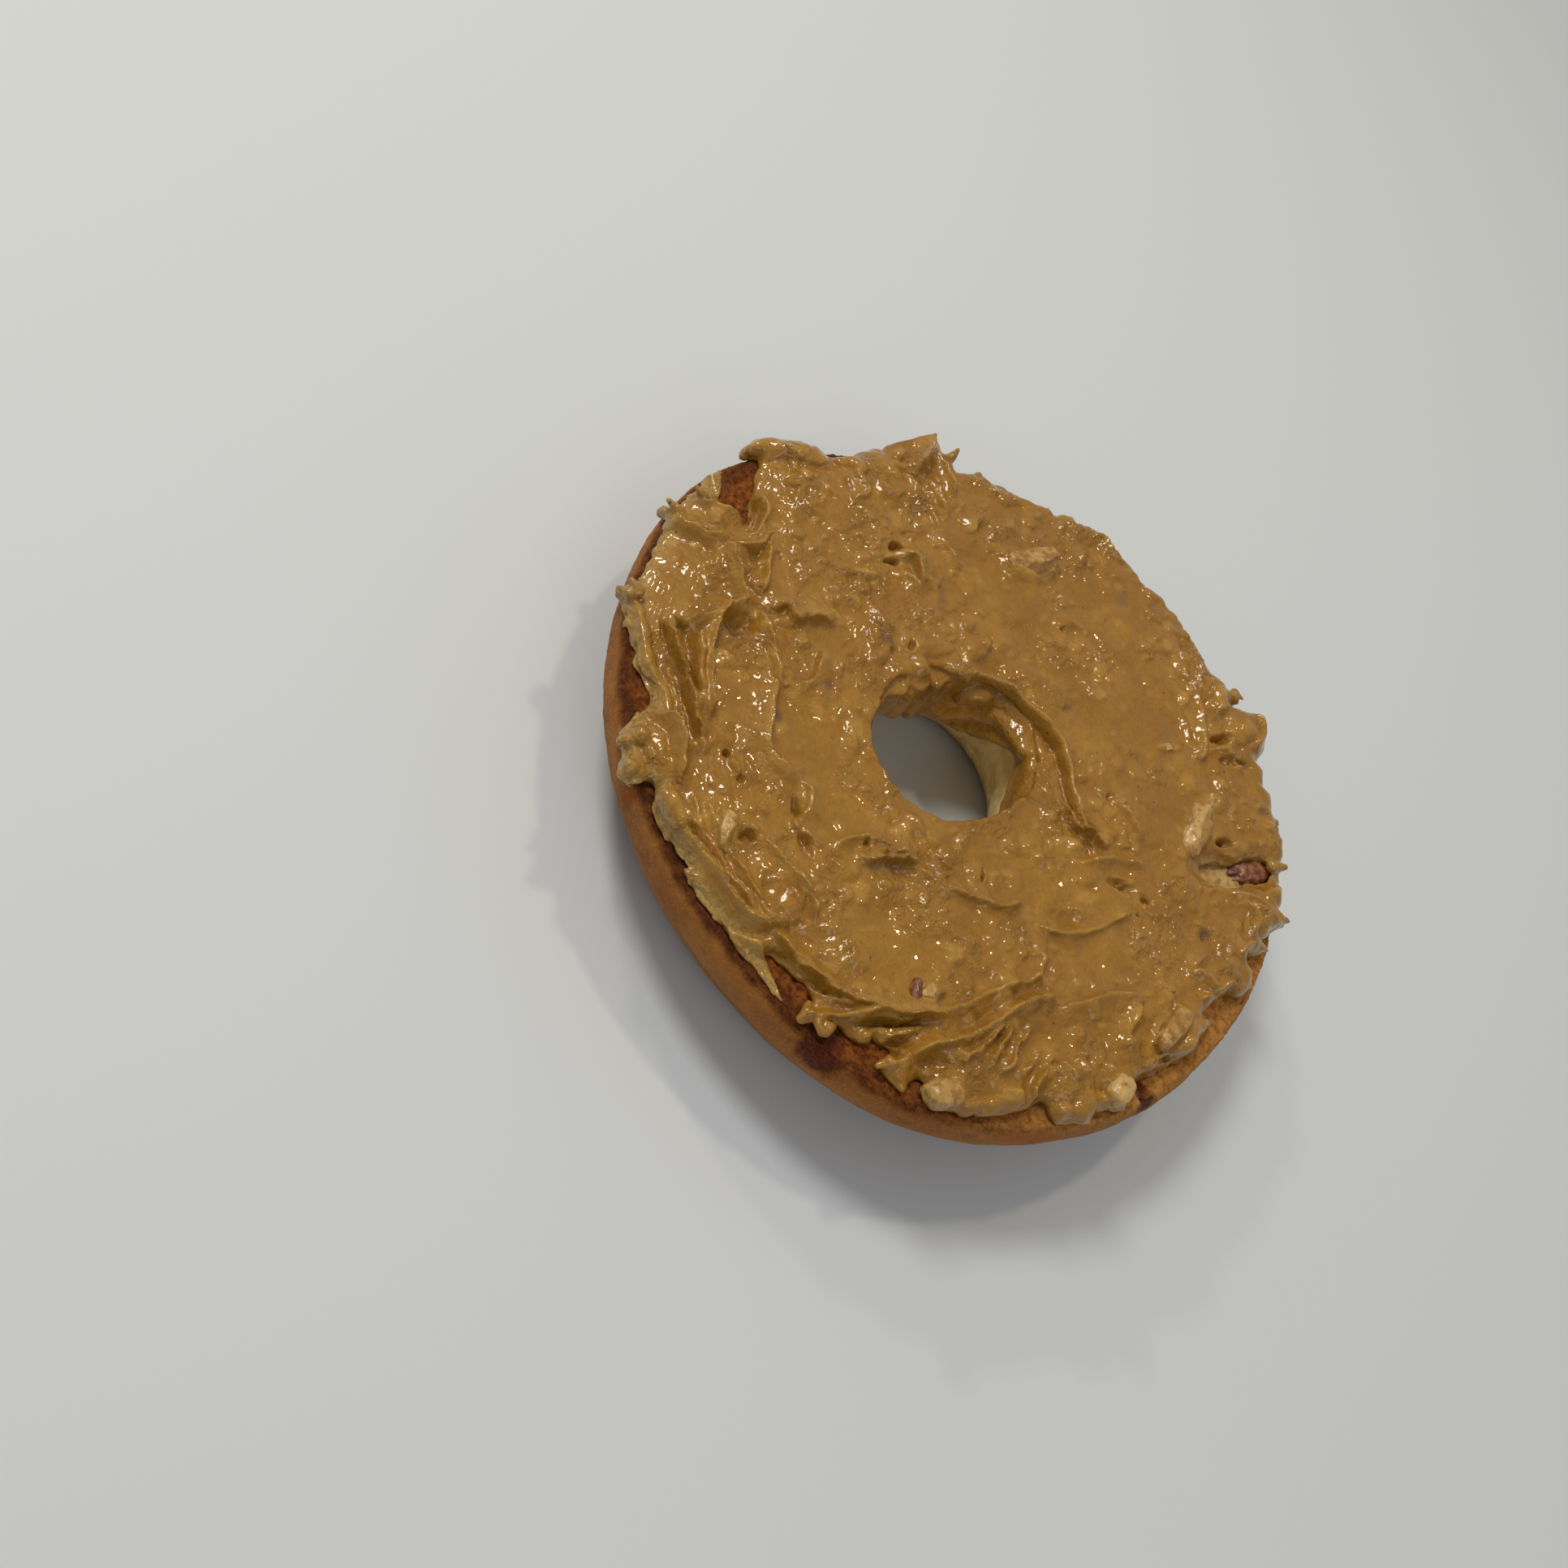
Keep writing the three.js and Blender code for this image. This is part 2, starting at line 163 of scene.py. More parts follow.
# Knife ridges: path, width to the left of the way it runs, width to the right, height, any lean to the left.
STROKES = [
    ([(-52, -15), (-50, -15), (-48, -14.5), (-44, -13), (-43, -11.5)], 1.4, 0.6, 1.6, 0.3),
    ([(-42.5, -10.5), (-40.5, -8), (-41, -4)], 2, 0.35, 1.2),
    ([(-43, -11), (-41.5, -13), (-36.5, -15.5), (-33.5, -16)], 1.2, 0.8, 1.5, 0.3),
    ([(-34, -15), (-29, -17), (-23, -21)], 0.7, 1.1, 1),
    ([(-23, -21), (-22.5, -23), (-18, -29), (-13.5, -29.5), (-13, -27.5)], 0.5, 1.8, 1.1, 0.3),
    ([(-41, -4), (-38.5, -7), (-34, -13.5)], 0.6, 0.8, 0.9),
    ([(-48.5, 0.5), (-44.5, -1), (-42.5, -5), (-43, -7)], 1.2, 0.45, 1.4),
    ([(-46, -1), (-44, -4.5), (-44, -6)], 0.45, 0.45, 0.8),
    ([(-51.5, -9), (-50, -8.5), (-47.5, -6), (-45.5, -5.5), (-44, -6)], 0.4, 1.5, 0.9),
    ([(-38, -27.5), (-33.5, -30.5), (-30.5, -31.5), (-23, -36.5)], 1, 0.5, 1.7, -0.5),
    ([(-35.5, -25.5), (-28.5, -31.5), (-26, -33.5)], 0.8, 0.8, 1.5),
    ([(-36, -17.5), (-33.5, -25), (-25, -33.5)], 0.5, 1, 1.7, 0.5),
    ([(-38, -27), (-36.5, -26), (-35.5, -23), (-35, -15.5)], 0.7, 1, 1.5, 0.3),
    ([(-32.5, -14.5), (-31.5, -11), (-29, -11.5), (-28, -8.5), (-25.5, -6)], 3.5, 0.2, 1, -0.3),
    ([(-34, -9), (-33, -10), (-31.5, -10.5)], 2.5, 0.25, 0.6),
    ([(-24, -11.5), (-22.5, -13), (-21, -17), (-23, -20)], 2.4, 0.25, 0.8, -0.2),
    ([(-22, -10), (-21, -10.5), (-19, -12.5)], 0.25, 1.4, 0.9, 0.2),
    ([(-28.5, 11.5), (-28, 13.5), (-26, 14), (-22.5, 10.5)], 1.6, 0.6, 1.2, -0.3),
    ([(-27, 11), (-23.5, 10.5), (-21.5, 9.5)], 0.8, 0.5, 0.6),
    ([(-41, 16), (-39.5, 16.5), (-38.5, 15), (-39, 13), (-38, 12.5)], 0.6, 0.8, 0.8),
    ([(-40.5, 35), (-39, 32), (-37.5, 25.5)], 1, 1.2, 1.5),
    ([(-40.5, 18.5), (-39.5, 19), (-34.5, 19.5)], 0.5, 1.2, 0.8),
    ([(-36.5, 27.5), (-34.5, 27), (-29.5, 25.5)], 0.5, 0.9, 0.9),
    ([(-37, 25.5), (-34.5, 24.5), (-32, 24), (-29.5, 22.5), (-27.5, 21.5)], 0.5, 0.9, 0.8),
    ([(-38.5, 34), (-33.5, 31.5), (-31, 29.5)], 0.6, 0.9, 1),
    ([(-22.5, -30.5), (-20, -29.5), (-18, -31.5)], 0.3, 1.4, 0.7),
    ([(-19.5, -34), (-17.5, -35), (-16, -36)], 0.5, 0.7, 0.8),
    ([(-19, -32.5), (-16.5, -33.5), (-14, -33.5)], 0.5, 0.8, 0.7),
    ([(-30, -39), (-28, -37.5), (-25.5, -38), (-23, -40), (-20.5, -42.5)], 0.7, 1.4, 1.7),
    ([(-43.5, 5), (-41.5, 5), (-40, 6), (-40, 7.5)], 0.5, 1, 0.6),
    ([(-26, 1.5), (-24.5, 1.5), (-22, 0.5), (-20.5, 1.5), (-19, 1)], 0.6, 1, 0.7),
    ([(-32, -2), (-29.5, -2), (-27.5, -1), (-26, 1.5)], 0.5, 1.2, 0.5),
    ([(-21, -44.5), (-14.5, -46.5), (-4.5, -47.5), (0.5, -46)], 0.7, 0.7, 1.5, -0.3),
    ([(0, -46), (5.5, -46), (14.5, -42.5), (22, -35)], 1.2, 0.3, 1.9, -0.8),
    ([(-18.5, -43), (-16, -44.5), (-13.5, -44.5), (-4.5, -46.5), (-2, -46.5)], 0.6, 0.6, 0.8),
    ([(-10.5, -42.5), (-9, -44), (-1.5, -45.5)], 0.6, 0.8, 1),
    ([(-9, -39), (-0.5, -39), (3, -41)], 0.6, 0.7, 0.9),
    ([(-3, -39), (-1, -40), (0.5, -42)], 0.4, 0.6, 0.6),
    ([(-12, -28.5), (-10, -29), (-8.5, -31), (-8, -34), (-3.5, -33)], 1.6, 0.25, 0.7),
    ([(-3, -32), (-1.5, -27.5), (5, -22.5)], 0.6, 0.9, 0.8),
    ([(-0.5, -29), (1, -29.5), (2.5, -26), (4.5, -24), (6, -23.5)], 1.8, 0.25, 1.2, -0.4),
    ([(0.5, -18.5), (3.5, -19.5), (6.5, -20), (10.5, -19.5)], 0.5, 0.5, 0.6),
    ([(-1, -18.5), (7.5, -21), (11, -20)], 0.4, 0.5, 0.4),
    ([(6, -23.5), (10.5, -23), (12, -21.5)], 0.8, 0.6, 0.8),
    ([(8.5, -48.5), (9.5, -50), (12.5, -47), (15.5, -42), (18, -39)], 0.5, 1, 1.8),
    ([(10, -50.5), (12.5, -48.5), (16, -43), (20, -39)], 0.8, 0.35, 1.3, -0.5),
    ([(14.5, -47), (16.5, -48), (17, -46.5), (20, -41), (20.5, -39)], 1.6, 0.3, 1.1, -0.3),
    ([(19.5, -44), (21, -43), (22, -43.5), (21, -46), (20, -48.5)], 0.7, 0.8, 1.8),
    ([(24.5, -37), (22.5, -41.5), (22, -43.5)], 0.6, 1.2, 1.5),
    ([(20, -48), (22, -47.5), (24, -47.5)], 1.4, 0.3, 1),
    ([(-13.5, -47.5), (-8.5, -47.5), (-3.5, -48)], 0.4, 0.6, 0.9),
    ([(12.5, 5), (16.5, 3.5), (20.5, 4.5), (21.5, 5.5)], 0.9, 0.4, 1.5, -0.5),
    ([(13.5, 7.5), (16.5, 6), (20.5, 5.5)], 0.5, 0.6, 0.8),
    ([(17, 12.5), (19.5, 12.5), (24.5, 11.5)], 0.5, 0.9, 0.8),
    ([(15, -4), (16, -5.5), (17.5, -6.5), (18.5, -6)], 0.5, 0.7, 0.7),
    ([(20.5, -1), (23, 4.5), (24, 5), (26, 7.5), (27.5, 8.5)], 0.7, 0.9, 0.8),
    ([(8, -22), (10.5, -22), (16.5, -17.5), (18.5, -14), (19.5, -13.5)], 1.2, 0.5, 0.9),
    ([(12, -20.5), (15.5, -17.5), (17, -15)], 0.4, 0.5, 0.5),
    ([(21.5, -14), (23.5, -13.5), (25.5, -11.5), (27.5, -8), (30, 0.5)], 1, 0.6, 0.9, -0.2),
    ([(24, -18), (25.5, -17), (26.5, -20.5), (25.5, -23.5), (23.5, -25)], 0.6, 0.9, 0.8),
    ([(20, -36.5), (21.5, -34.5), (22.5, -32), (23, -29.5), (26, -22)], 0.6, 1.4, 1),
    ([(23, -40), (25.5, -34.5), (27.5, -25.5), (29, -22), (31, -21)], 0.6, 1.5, 1.4),
    ([(31.5, -21.5), (35, -13), (37, -10.5), (38, -8.5)], 0.35, 1.8, 1, 0.2),
    ([(37.5, -10), (39, -10.5), (40, -14.5), (41, -15.5), (42, -13.5)], 0.25, 2, 0.9, 0.2),
    ([(27, -28.5), (27.5, -31), (27, -38.5)], 0.7, 0.7, 1.2),
    ([(28.5, -28), (29, -33), (29.5, -35), (31, -35)], 0.6, 0.7, 1.1),
    ([(29.5, -25.5), (30.5, -28), (30.5, -30.5), (31.5, -33), (31, -35.5)], 0.6, 0.7, 1),
    ([(35.5, -27), (35.5, -31.5), (37, -32.5), (38, -34)], 0.9, 0.5, 1.3),
    ([(34.5, -27.5), (36, -26.5), (39.5, -26.5)], 0.6, 0.8, 0.9),
    ([(37, -24), (38.5, -24.5), (40.5, -24.5), (41, -26)], 0.6, 0.8, 0.8),
    ([(33.5, -29), (33.5, -31.5), (34, -33)], 0.6, 0.8, 0.8),
    ([(41.5, 0), (42, 2), (45.5, 2.5), (46.5, 5), (48, 7)], 0.7, 1, 1.4),
    ([(43, -1), (44.5, -0.5), (47, 4), (48.5, 5.5)], 0.6, 0.9, 1),
    ([(45.5, 10), (45, 12), (45.5, 14.5), (47.5, 15.5)], 0.6, 0.7, 1),
    ([(41.5, 20), (46, 21), (47.5, 22.5)], 0.7, 0.8, 1.2),
    ([(34.5, 23.5), (36.5, 25), (40.5, 29), (42, 29.5)], 1.5, 0.3, 1.4, -0.4),
    ([(36, 14.5), (37, 17.5), (39.5, 19), (41.5, 21), (46, 22)], 0.8, 0.8, 0.8),
    ([(40, 19), (42, 19), (44, 17.5), (45, 15)], 0.6, 0.8, 0.8),
    ([(28.5, 19.5), (30, 18.5), (32, 18.5)], 0.5, 0.5, 0.7),
    ([(41.5, 6.5), (41, 4), (41.5, 1)], 0.6, 0.9, 0.8),
    ([(-8.5, 31), (-6.5, 31), (-4, 32), (-3, 33.5)], 0.5, 0.8, 0.6),
    ([(10.5, 48.5), (13, 46), (14, 43.5), (21.5, 34.5), (22, 31.5)], 0.6, 1.6, 1.1),
    ([(-14.5, 48.5), (-12.5, 50), (-10, 49.5), (-7.5, 50.5)], 0.4, 0.9, 0.7),
    ([(15, 36.5), (17, 35.5), (20.5, 32.5)], 0.6, 1, 0.6),
    ([(22, 35.5), (24.5, 38), (28.5, 37.5)], 0.6, 0.7, 1.2),
    ([(22, 48), (24.5, 49), (26.5, 47.5), (27, 43.5)], 0.8, 1.8, 1.2),
    ([(-36, 29.5), (-33.5, 28.5), (-28.5, 24.5)], 0.6, 0.8, 0.7),
    ([(-29.5, 22.5), (-23.5, 20.5), (-22, 21.5)], 0.5, 0.8, 0.6),
    ([(-22, -43.5), (-18.5, -46), (-10, -48), (-2.5, -48.5)], 0.4, 0.5, 0.7),
    ([(-19, -41.5), (-15, -44), (-11, -44.5), (-3, -46)], 0.4, 0.4, 0.6),
    ([(-17, -40.5), (-13.5, -43), (-6.5, -44)], 0.4, 0.5, 0.5),
    ([(-16, -46.5), (-13, -48.5), (-7, -49)], 0.3, 0.4, 0.4),
    ([(-34, -32), (-28, -35), (-25, -37)], 0.4, 0.5, 0.8),
    ([(-30.5, -38.5), (-28.5, -41), (-23.5, -44.5)], 0.5, 0.5, 0.7),
    ([(2, -47), (8, -46.5), (14, -43.5), (17, -41)], 0.4, 0.5, 0.7),
    ([(13, -46), (17, -42.5), (19, -40)], 0.4, 0.4, 0.6),
]

# Thick rolls with a round top: path, radius, height.
ROLLS = [
    ([(-44.5, -30.5), (-42, -30), (-36.5, -34), (-31, -35.5), (-28.5, -37)], 1.9, 1.5),
    ([(-29, -44), (-26, -45), (-17, -47.5)], 1.4, 1),
    ([(-29, -40.5), (-26, -41), (-23.5, -42.5), (-21.5, -45)], 1.8, 1.1),
    ([(-33.5, 1), (-30.5, 3.5), (-29, 5)], 1.1, 0.8),
    ([(-45, 16.5), (-44.5, 18.5), (-43, 18.5), (-41.5, 17)], 1.2, 1.1),
    ([(-16.5, 3), (-15, 5), (-14, 7.5)], 1.5, 0.9),
    ([(-53, 6.5), (-52.5, 8.5), (-48, 13.5)], 2.4, 1.5),
    ([(-41.5, 27.5), (-41, 31), (-40, 34)], 1.6, 0.9),
    ([(-25.5, -48.5), (-24.5, -48)], 1.2, 1.2),
    ([(23.5, 43.5), (24.5, 46)], 2.2, 1.4),
    ([(26, -44), (28.5, -44), (31, -42.5), (34.5, -37.5), (35.5, -34.5)], 1.7, 1.1),
    ([(38.5, -33), (40.5, -32), (42.5, -29.5), (42.5, -26.5)], 1.8, 1.2),
    ([(47, -11), (47.5, -8), (47, -5.5), (47.5, -3.5)], 1.2, 1),
    ([(45, -17), (46, -13.5), (47, -10.5)], 1.3, 0.9),
    ([(47, 4), (48.5, 6)], 1.6, 1.2),
    ([(41.5, -21.5), (43, -20.5), (44, -18)], 1.4, 1.1),
    ([(6.5, 45.5), (10.5, 44.5), (12.5, 43)], 1.5, 0.7),
    ([(-4, -51.5), (0.5, -49), (1, -47)], 1.3, 1.2),
    ([(-46, 6.5), (-46, 9), (-44, 10.5), (-41.5, 9)], 1.2, 0.7),
    ([(12.5, 2), (14, 1)], 2.3, 0.7),
    ([(-22.5, -45), (-12, -47), (-2.5, -46), (0, -44.5)], 1.1, 2),
    ([(-22, -43.5), (-14.5, -44.5), (-4.5, -45)], 0.8, 1),
]

# Smooth lumps: x, y, length, width, turned by degrees, height.
LUMPS = [
    (-11.5, 12, 6.5, 4, 90, 1), (-16, 32.5, 10, 3.5, 85, 0.5), (-12.5, 42, 6, 4, 95, 0.5),
    (-26.5, 29, 5, 3, 110, 0.6), (17, 45, 8, 6, 110, 1.1), (10.5, 44.5, 6, 4.5, 115, 0.8),
    (18, 29.5, 5.5, 2.3, 60, 0.4), (5, 25, 3.5, 2.8, 105, 0.4), (23.5, 45.5, 9.5, 6, 85, 1.4),
    (2.5, 34, 5, 3.5, 75, 0.4), (14.5, 39.5, 4, 2.4, 110, 0.4), (-15.5, 18.5, 4.5, 3, 90, 0.4),
    (-19, 11.5, 7.5, 2.4, 140, 0.4), (-45.5, 7.5, 4, 2.8, 105, 0.6), (-43.5, 8.5, 4, 2.6, 110, 0.5),
    (-41, 23.5, 6, 4, 95, 0.7), (-35.5, 12.5, 6.5, 4.5, 60, 0.5), (-33, 11.5, 5.5, 4, 55, 0.4),
    (-34.5, -2.5, 6, 4, 85, 0.4), (-19.5, -3.5, 6.5, 4.5, 95, 0.6), (-15.5, -14, 4.5, 3.5, 100, 0.5),
    (-30.5, -25, 3.5, 2.7, 110, 0.4), (-23, -33, 6.5, 4.5, 130, 0.6), (-44.5, -18, 6.5, 4.5, 110, 0.5),
    (-47, -8.5, 6, 3.5, 110, 0.8), (-27.5, -5.5, 4, 2.3, 55, 0.5), (-33, -21.5, 4, 3, 95, 0.4),
    (-32.5, 25, 8, 2.5, 135, 0.4), (-13.5, -42, 4.5, 3, 105, 0.9), (1.5, -22, 4, 3, 100, 0.7),
    (8, -42, 4, 3.5, 50, 0.6), (3.5, -33.5, 5, 3.5, 75, 0.4), (17.5, -31, 4, 2.8, 115, 0.4),
    (30, 21.5, 9, 3.5, 105, 1), (29, 29.5, 4.5, 2.8, 90, 0.6), (17.5, 0.5, 5.5, 3, 55, 0.5),
    (28.5, -42.5, 4, 3, 65, 1.5), (44, -22.5, 4, 2.9, 80, 1.3), (44.5, -8, 10, 3.5, 90, 1.2),
    (34, -35, 4, 2.4, 60, 0.7), (21.5, -30, 4, 2.5, 65, 0.4), (34, -2, 5, 3, 70, 0.5),
    (38, 5, 6.5, 3.5, 65, 0.4), (40.5, 11, 6, 3.5, 75, 0.4), (41.5, 14.5, 5, 3.5, 80, 0.4),
    (22.5, -2, 4.5, 2.5, 65, 0.6), (30, -26, 4, 2.5, 65, 0.6), (41.5, -18.5, 4.5, 2.3, 60, 0.6),
    (38.5, -29.5, 5, 3.5, 70, 0.5), (44, 7, 5, 2.8, 65, 0.5), (39, 21, 5.5, 3, 65, 0.6),
]

# Hollows and torn pits: the same values, the last being the depth.
PITS = [
    (-30, 13, 3, 1.6, 75, 2.8), (-28.5, 10.5, 2.8, 1.2, 55, 1.8), (-38, -5, 2.1, 0.7, 145, 1),
    (-20, -34.5, 1.7, 1, 85, 1.5), (-16.5, -35.5, 1.5, 1.3, 65, 1.2), (-31, -11.5, 4, 2.3, 45, 0.9),
    (-28.5, -10.5, 2.3, 1.6, 85, 1.2), (-17, 2, 2.3, 1.1, 125, 1.4), (-18, -1, 1.7, 1.2, 95, 1.2),
    (-33, -19, 6, 3.5, 60, 1.5), (-30.5, -31, 8, 1, 155, 1.2), (-36, -29.5, 9, 1.2, 150, 1.3),
    (-37, -13.5, 6, 1.8, 145, 0.8), (-46, -12.5, 4, 1.6, 30, 0.9), (-39.5, -8, 5.5, 3.5, 80, 0.8),
    (-17.5, -4.5, 4, 2.1, 65, 0.6), (-46, -2, 5, 1.9, 125, 1.6), (-50, -7, 1.5, 1, 85, 0.8),
    (-10.5, -40.5, 2.2, 1.8, 60, 1.5), (-9.5, -32, 4, 1.3, 145, 1.4), (-5.5, -34.5, 5, 1.7, 155, 1.3),
    (4, -27, 9, 3.5, 50, 0.8), (3, -25, 6.5, 0.8, 50, 1.5), (-4.5, -42.5, 3.5, 2.2, 150, 0.8),
    (-6.5, -47, 6.5, 1.2, 175, 1.2), (17.5, -42, 10.5, 1, 50, 1.8), (10.5, -44.5, 7.5, 1.8, 30, 1.8),
    (4, -46.5, 5.5, 1.2, 30, 1.4), (20, -42.5, 3.5, 1.4, 45, 1.3), (25, -40, 6, 2.6, 45, 1),
    (1.5, -42.5, 1.8, 1.1, 50, 0.9), (-0.5, -27.5, 1, 0.7, 110, 1.2), (-3, -46, 3, 1, 175, 0.8),
    (26.5, 2.5, 5, 1.6, 35, 1.9), (30.5, 4, 2.4, 1.4, 50, 1.6), (31, 1.5, 0.6, 0.4, 80, 1.2),
    (12.5, -15.5, 2.7, 0.6, 125, 1.8), (33.5, 25, 4.5, 1.6, 55, 2.6), (37.5, -32.5, 1.9, 1.3, 100, 2.2),
    (31, -30.5, 2.9, 0.7, 105, 1), (46.5, -11.5, 8, 0.9, 65, 1.6), (42.5, 3, 1.3, 0.9, 100, 1),
    (25, -8.5, 11, 3, 50, 0.6), (35.5, -28, 4, 1, 100, 1), (25, -38, 6.5, 1.6, 60, 0.8),
    (17, 12.5, 2.1, 1.2, 70, 0.8), (28, -31.5, 4, 0.8, 95, 0.8), (45.5, 2.5, 4, 1.2, 100, 0.8),
    (-5.5, 29, 1.3, 1.1, 95, 1.2), (22.5, 39.5, 4.5, 1.7, 60, 2), (26.5, 38, 6.5, 1.8, 45, 1.8),
    (-25, 30, 2.4, 1.5, 110, 0.7),
]

# Nut pieces that show: x, y, length, width, turned by degrees, how far they stand out, 0 bare to 1 coated.
NUTS = [
    (-12.7, -42.1, 4.8, 2.5, 126, 1.5, 0.3), (-15.2, -43.1, 2.8, 2.0, 72, 0.6, 0.8),
    (1.6, -22.1, 3.6, 2.7, 99, 0.4, 0.7), (8.5, -41.9, 3.5, 2.4, 41, 0.3, 0.75),
    (3.2, -33.3, 3.9, 2.7, 61, 0.2, 0.9), (29.0, 21.6, 8.4, 3.6, 107, 1, 0.3),
    (17.8, -0.0, 4.7, 2.5, 51, 0.4, 0.6), (28.2, -42.0, 5.0, 3.5, 60, 1.6, 0.35),
    (44.0, -21.6, 4.0, 3.0, 99, 1.2, 0.3), (44.0, -8.4, 7.6, 2.9, 87, 1.0, 0.4),
    (34.3, -35.0, 3.0, 1.6, 58, 0.6, 0.8), (17.1, -28.0, 2.2, 2.1, 129, 0.6, 0.5),
    (13.3, 1.1, 2.5, 1.6, 74, 0.6, 0.8), (40.7, -3.9, 2.0, 1.4, 85, 0.5, 0.4),
    (24.5, -4.0, 3.5, 1.6, 61, 0.3, 0.6), (27.9, 28.0, 3.5, 2.3, 83, 0.6, 0.4),
    (-15.9, 33.0, 8.4, 4.8, 71, 2.2, 0.42), (17.8, 28.8, 4.3, 1.1, 56, 0.4, 0.4),
    (5.3, 24.7, 2.5, 1.9, 97, 0.3, 0.5), (-26.1, 28.6, 2.4, 1.4, 110, 0.6, 0.5),
    (18.1, 45.3, 4.3, 2.6, 117, 0.9, 0.6), (-1.6, 14.3, 2.4, 0.9, 124, 0.3, 0.5),
    (14.2, 38.9, 2.6, 1.2, 117, 0.4, 0.5), (-9.6, 32.9, 1.4, 0.9, 81, 0.4, 0.3),
    (6.5, 44.1, 2.5, 1.5, 102, 0.3, 0.8), (-47.7, -8.1, 3.0, 1.8, 109, 0.7, 0.6),
    (-30.6, -25.3, 2.5, 1.8, 115, 0.3, 0.5), (-29.5, 4.7, 4.0, 1.3, 54, 0.5, 0.7),
    (-27.0, -5.4, 2.7, 1.3, 50, 0.4, 0.7), (-26.7, -12.4, 2.3, 1.6, 114, 0.3, 0.6),
    (-48.1, -16.4, 2.2, 1.6, 92, 0.3, 0.6), (-20.6, -31.1, 2.8, 1.6, 137, 0.4, 0.9),
    (-12.8, -15.5, 3.5, 2.2, 144, 0.4, 0.8), (-18.9, -25.6, 2.8, 1.8, 120, 0.2, 0.85),
    (18.3, -35.2, 3.0, 2.3, 61, 1.0, 0.2),
]

# Raisins that show through: x, y, length, width, turned by degrees, strength of the dark stain.
STAINS = [
    (-20, -24.5, 2.8, 1.8, 120, 1), (-19.5, -14.5, 2.2, 1.6, 80, 0.8), (-20, -1, 2.7, 2.1, 85, 0.7),
    (-32.5, -20.5, 4, 2.6, 75, 0.55), (-50, -8.5, 3.5, 2.4, 50, 0.5), (-20, -31.5, 3.5, 2.1, 125, 0.35),
    (-44, 9, 3.5, 2.5, 105, 0.35), (-33.5, 22.5, 6.5, 3.5, 120, 0.35), (-3.5, 44, 4.5, 2.4, 110, 0.4),
    (-19.5, 12.5, 7, 1.8, 130, 0.45), (4, -27, 7.5, 2.5, 50, 0.35), (-5.5, -28.5, 0.7, 0.5, 90, 0.8),
    (39.5, 8, 3, 1.9, 70, 0.85), (34.5, 35.5, 2.5, 1.5, 75, 0.8), (19.5, -34.5, 2.7, 1.9, 115, 0.5),
]

# Where the topping is torn open down to pale dough: x, y, length, width, turned by degrees.
OPENINGS = [(36.7, 21.6, 9.0, 4.4, 51), (39.6, 27.2, 8.4, 3.8, 57)]
# Raisins that lie bare: the same values, then how far the top stands above the topping there.
RAISINS = [(39.6, 27.8, 8.4, 3.7, 57, -0.5), (17.0, -36.4, 3.4, 1.7, 120, 0.9)]

# Where the topping is only a thin film: x, y, length, width, turned by degrees.
FILMS = [(-52.2, -2.6, 8.0, 4.4, 100), (3.5, -50.2, 9.0, 3.0, 0), (-8.0, -50.0, 8.0, 2.0, -3)]

# Places as rough as sand: x, y, radius.
ROUGH_PLACES = [
    (-34.5, 12.5, 4.5), (-28.5, 1.5, 4), (-20.5, 6.5, 4), (-43.5, 6.5, 3), (-34, 22, 3.5), (-1.5, -33, 2),
    (4.5, -26.5, 6), (11, -26.5, 4), (10.5, -29, 3), (20, -18, 3), (35, 1, 5.5), (41.5, 9, 4),
    (45.5, 6.5, 3), (28, -36, 4), (38, -21.5, 3), (38, -29.5, 2.5), (26, -39.5, 3), (3, 18, 1.5),
    (-11.5, 43.5, 2), (15, 22, 1.5), (19.5, 23, 2),
]

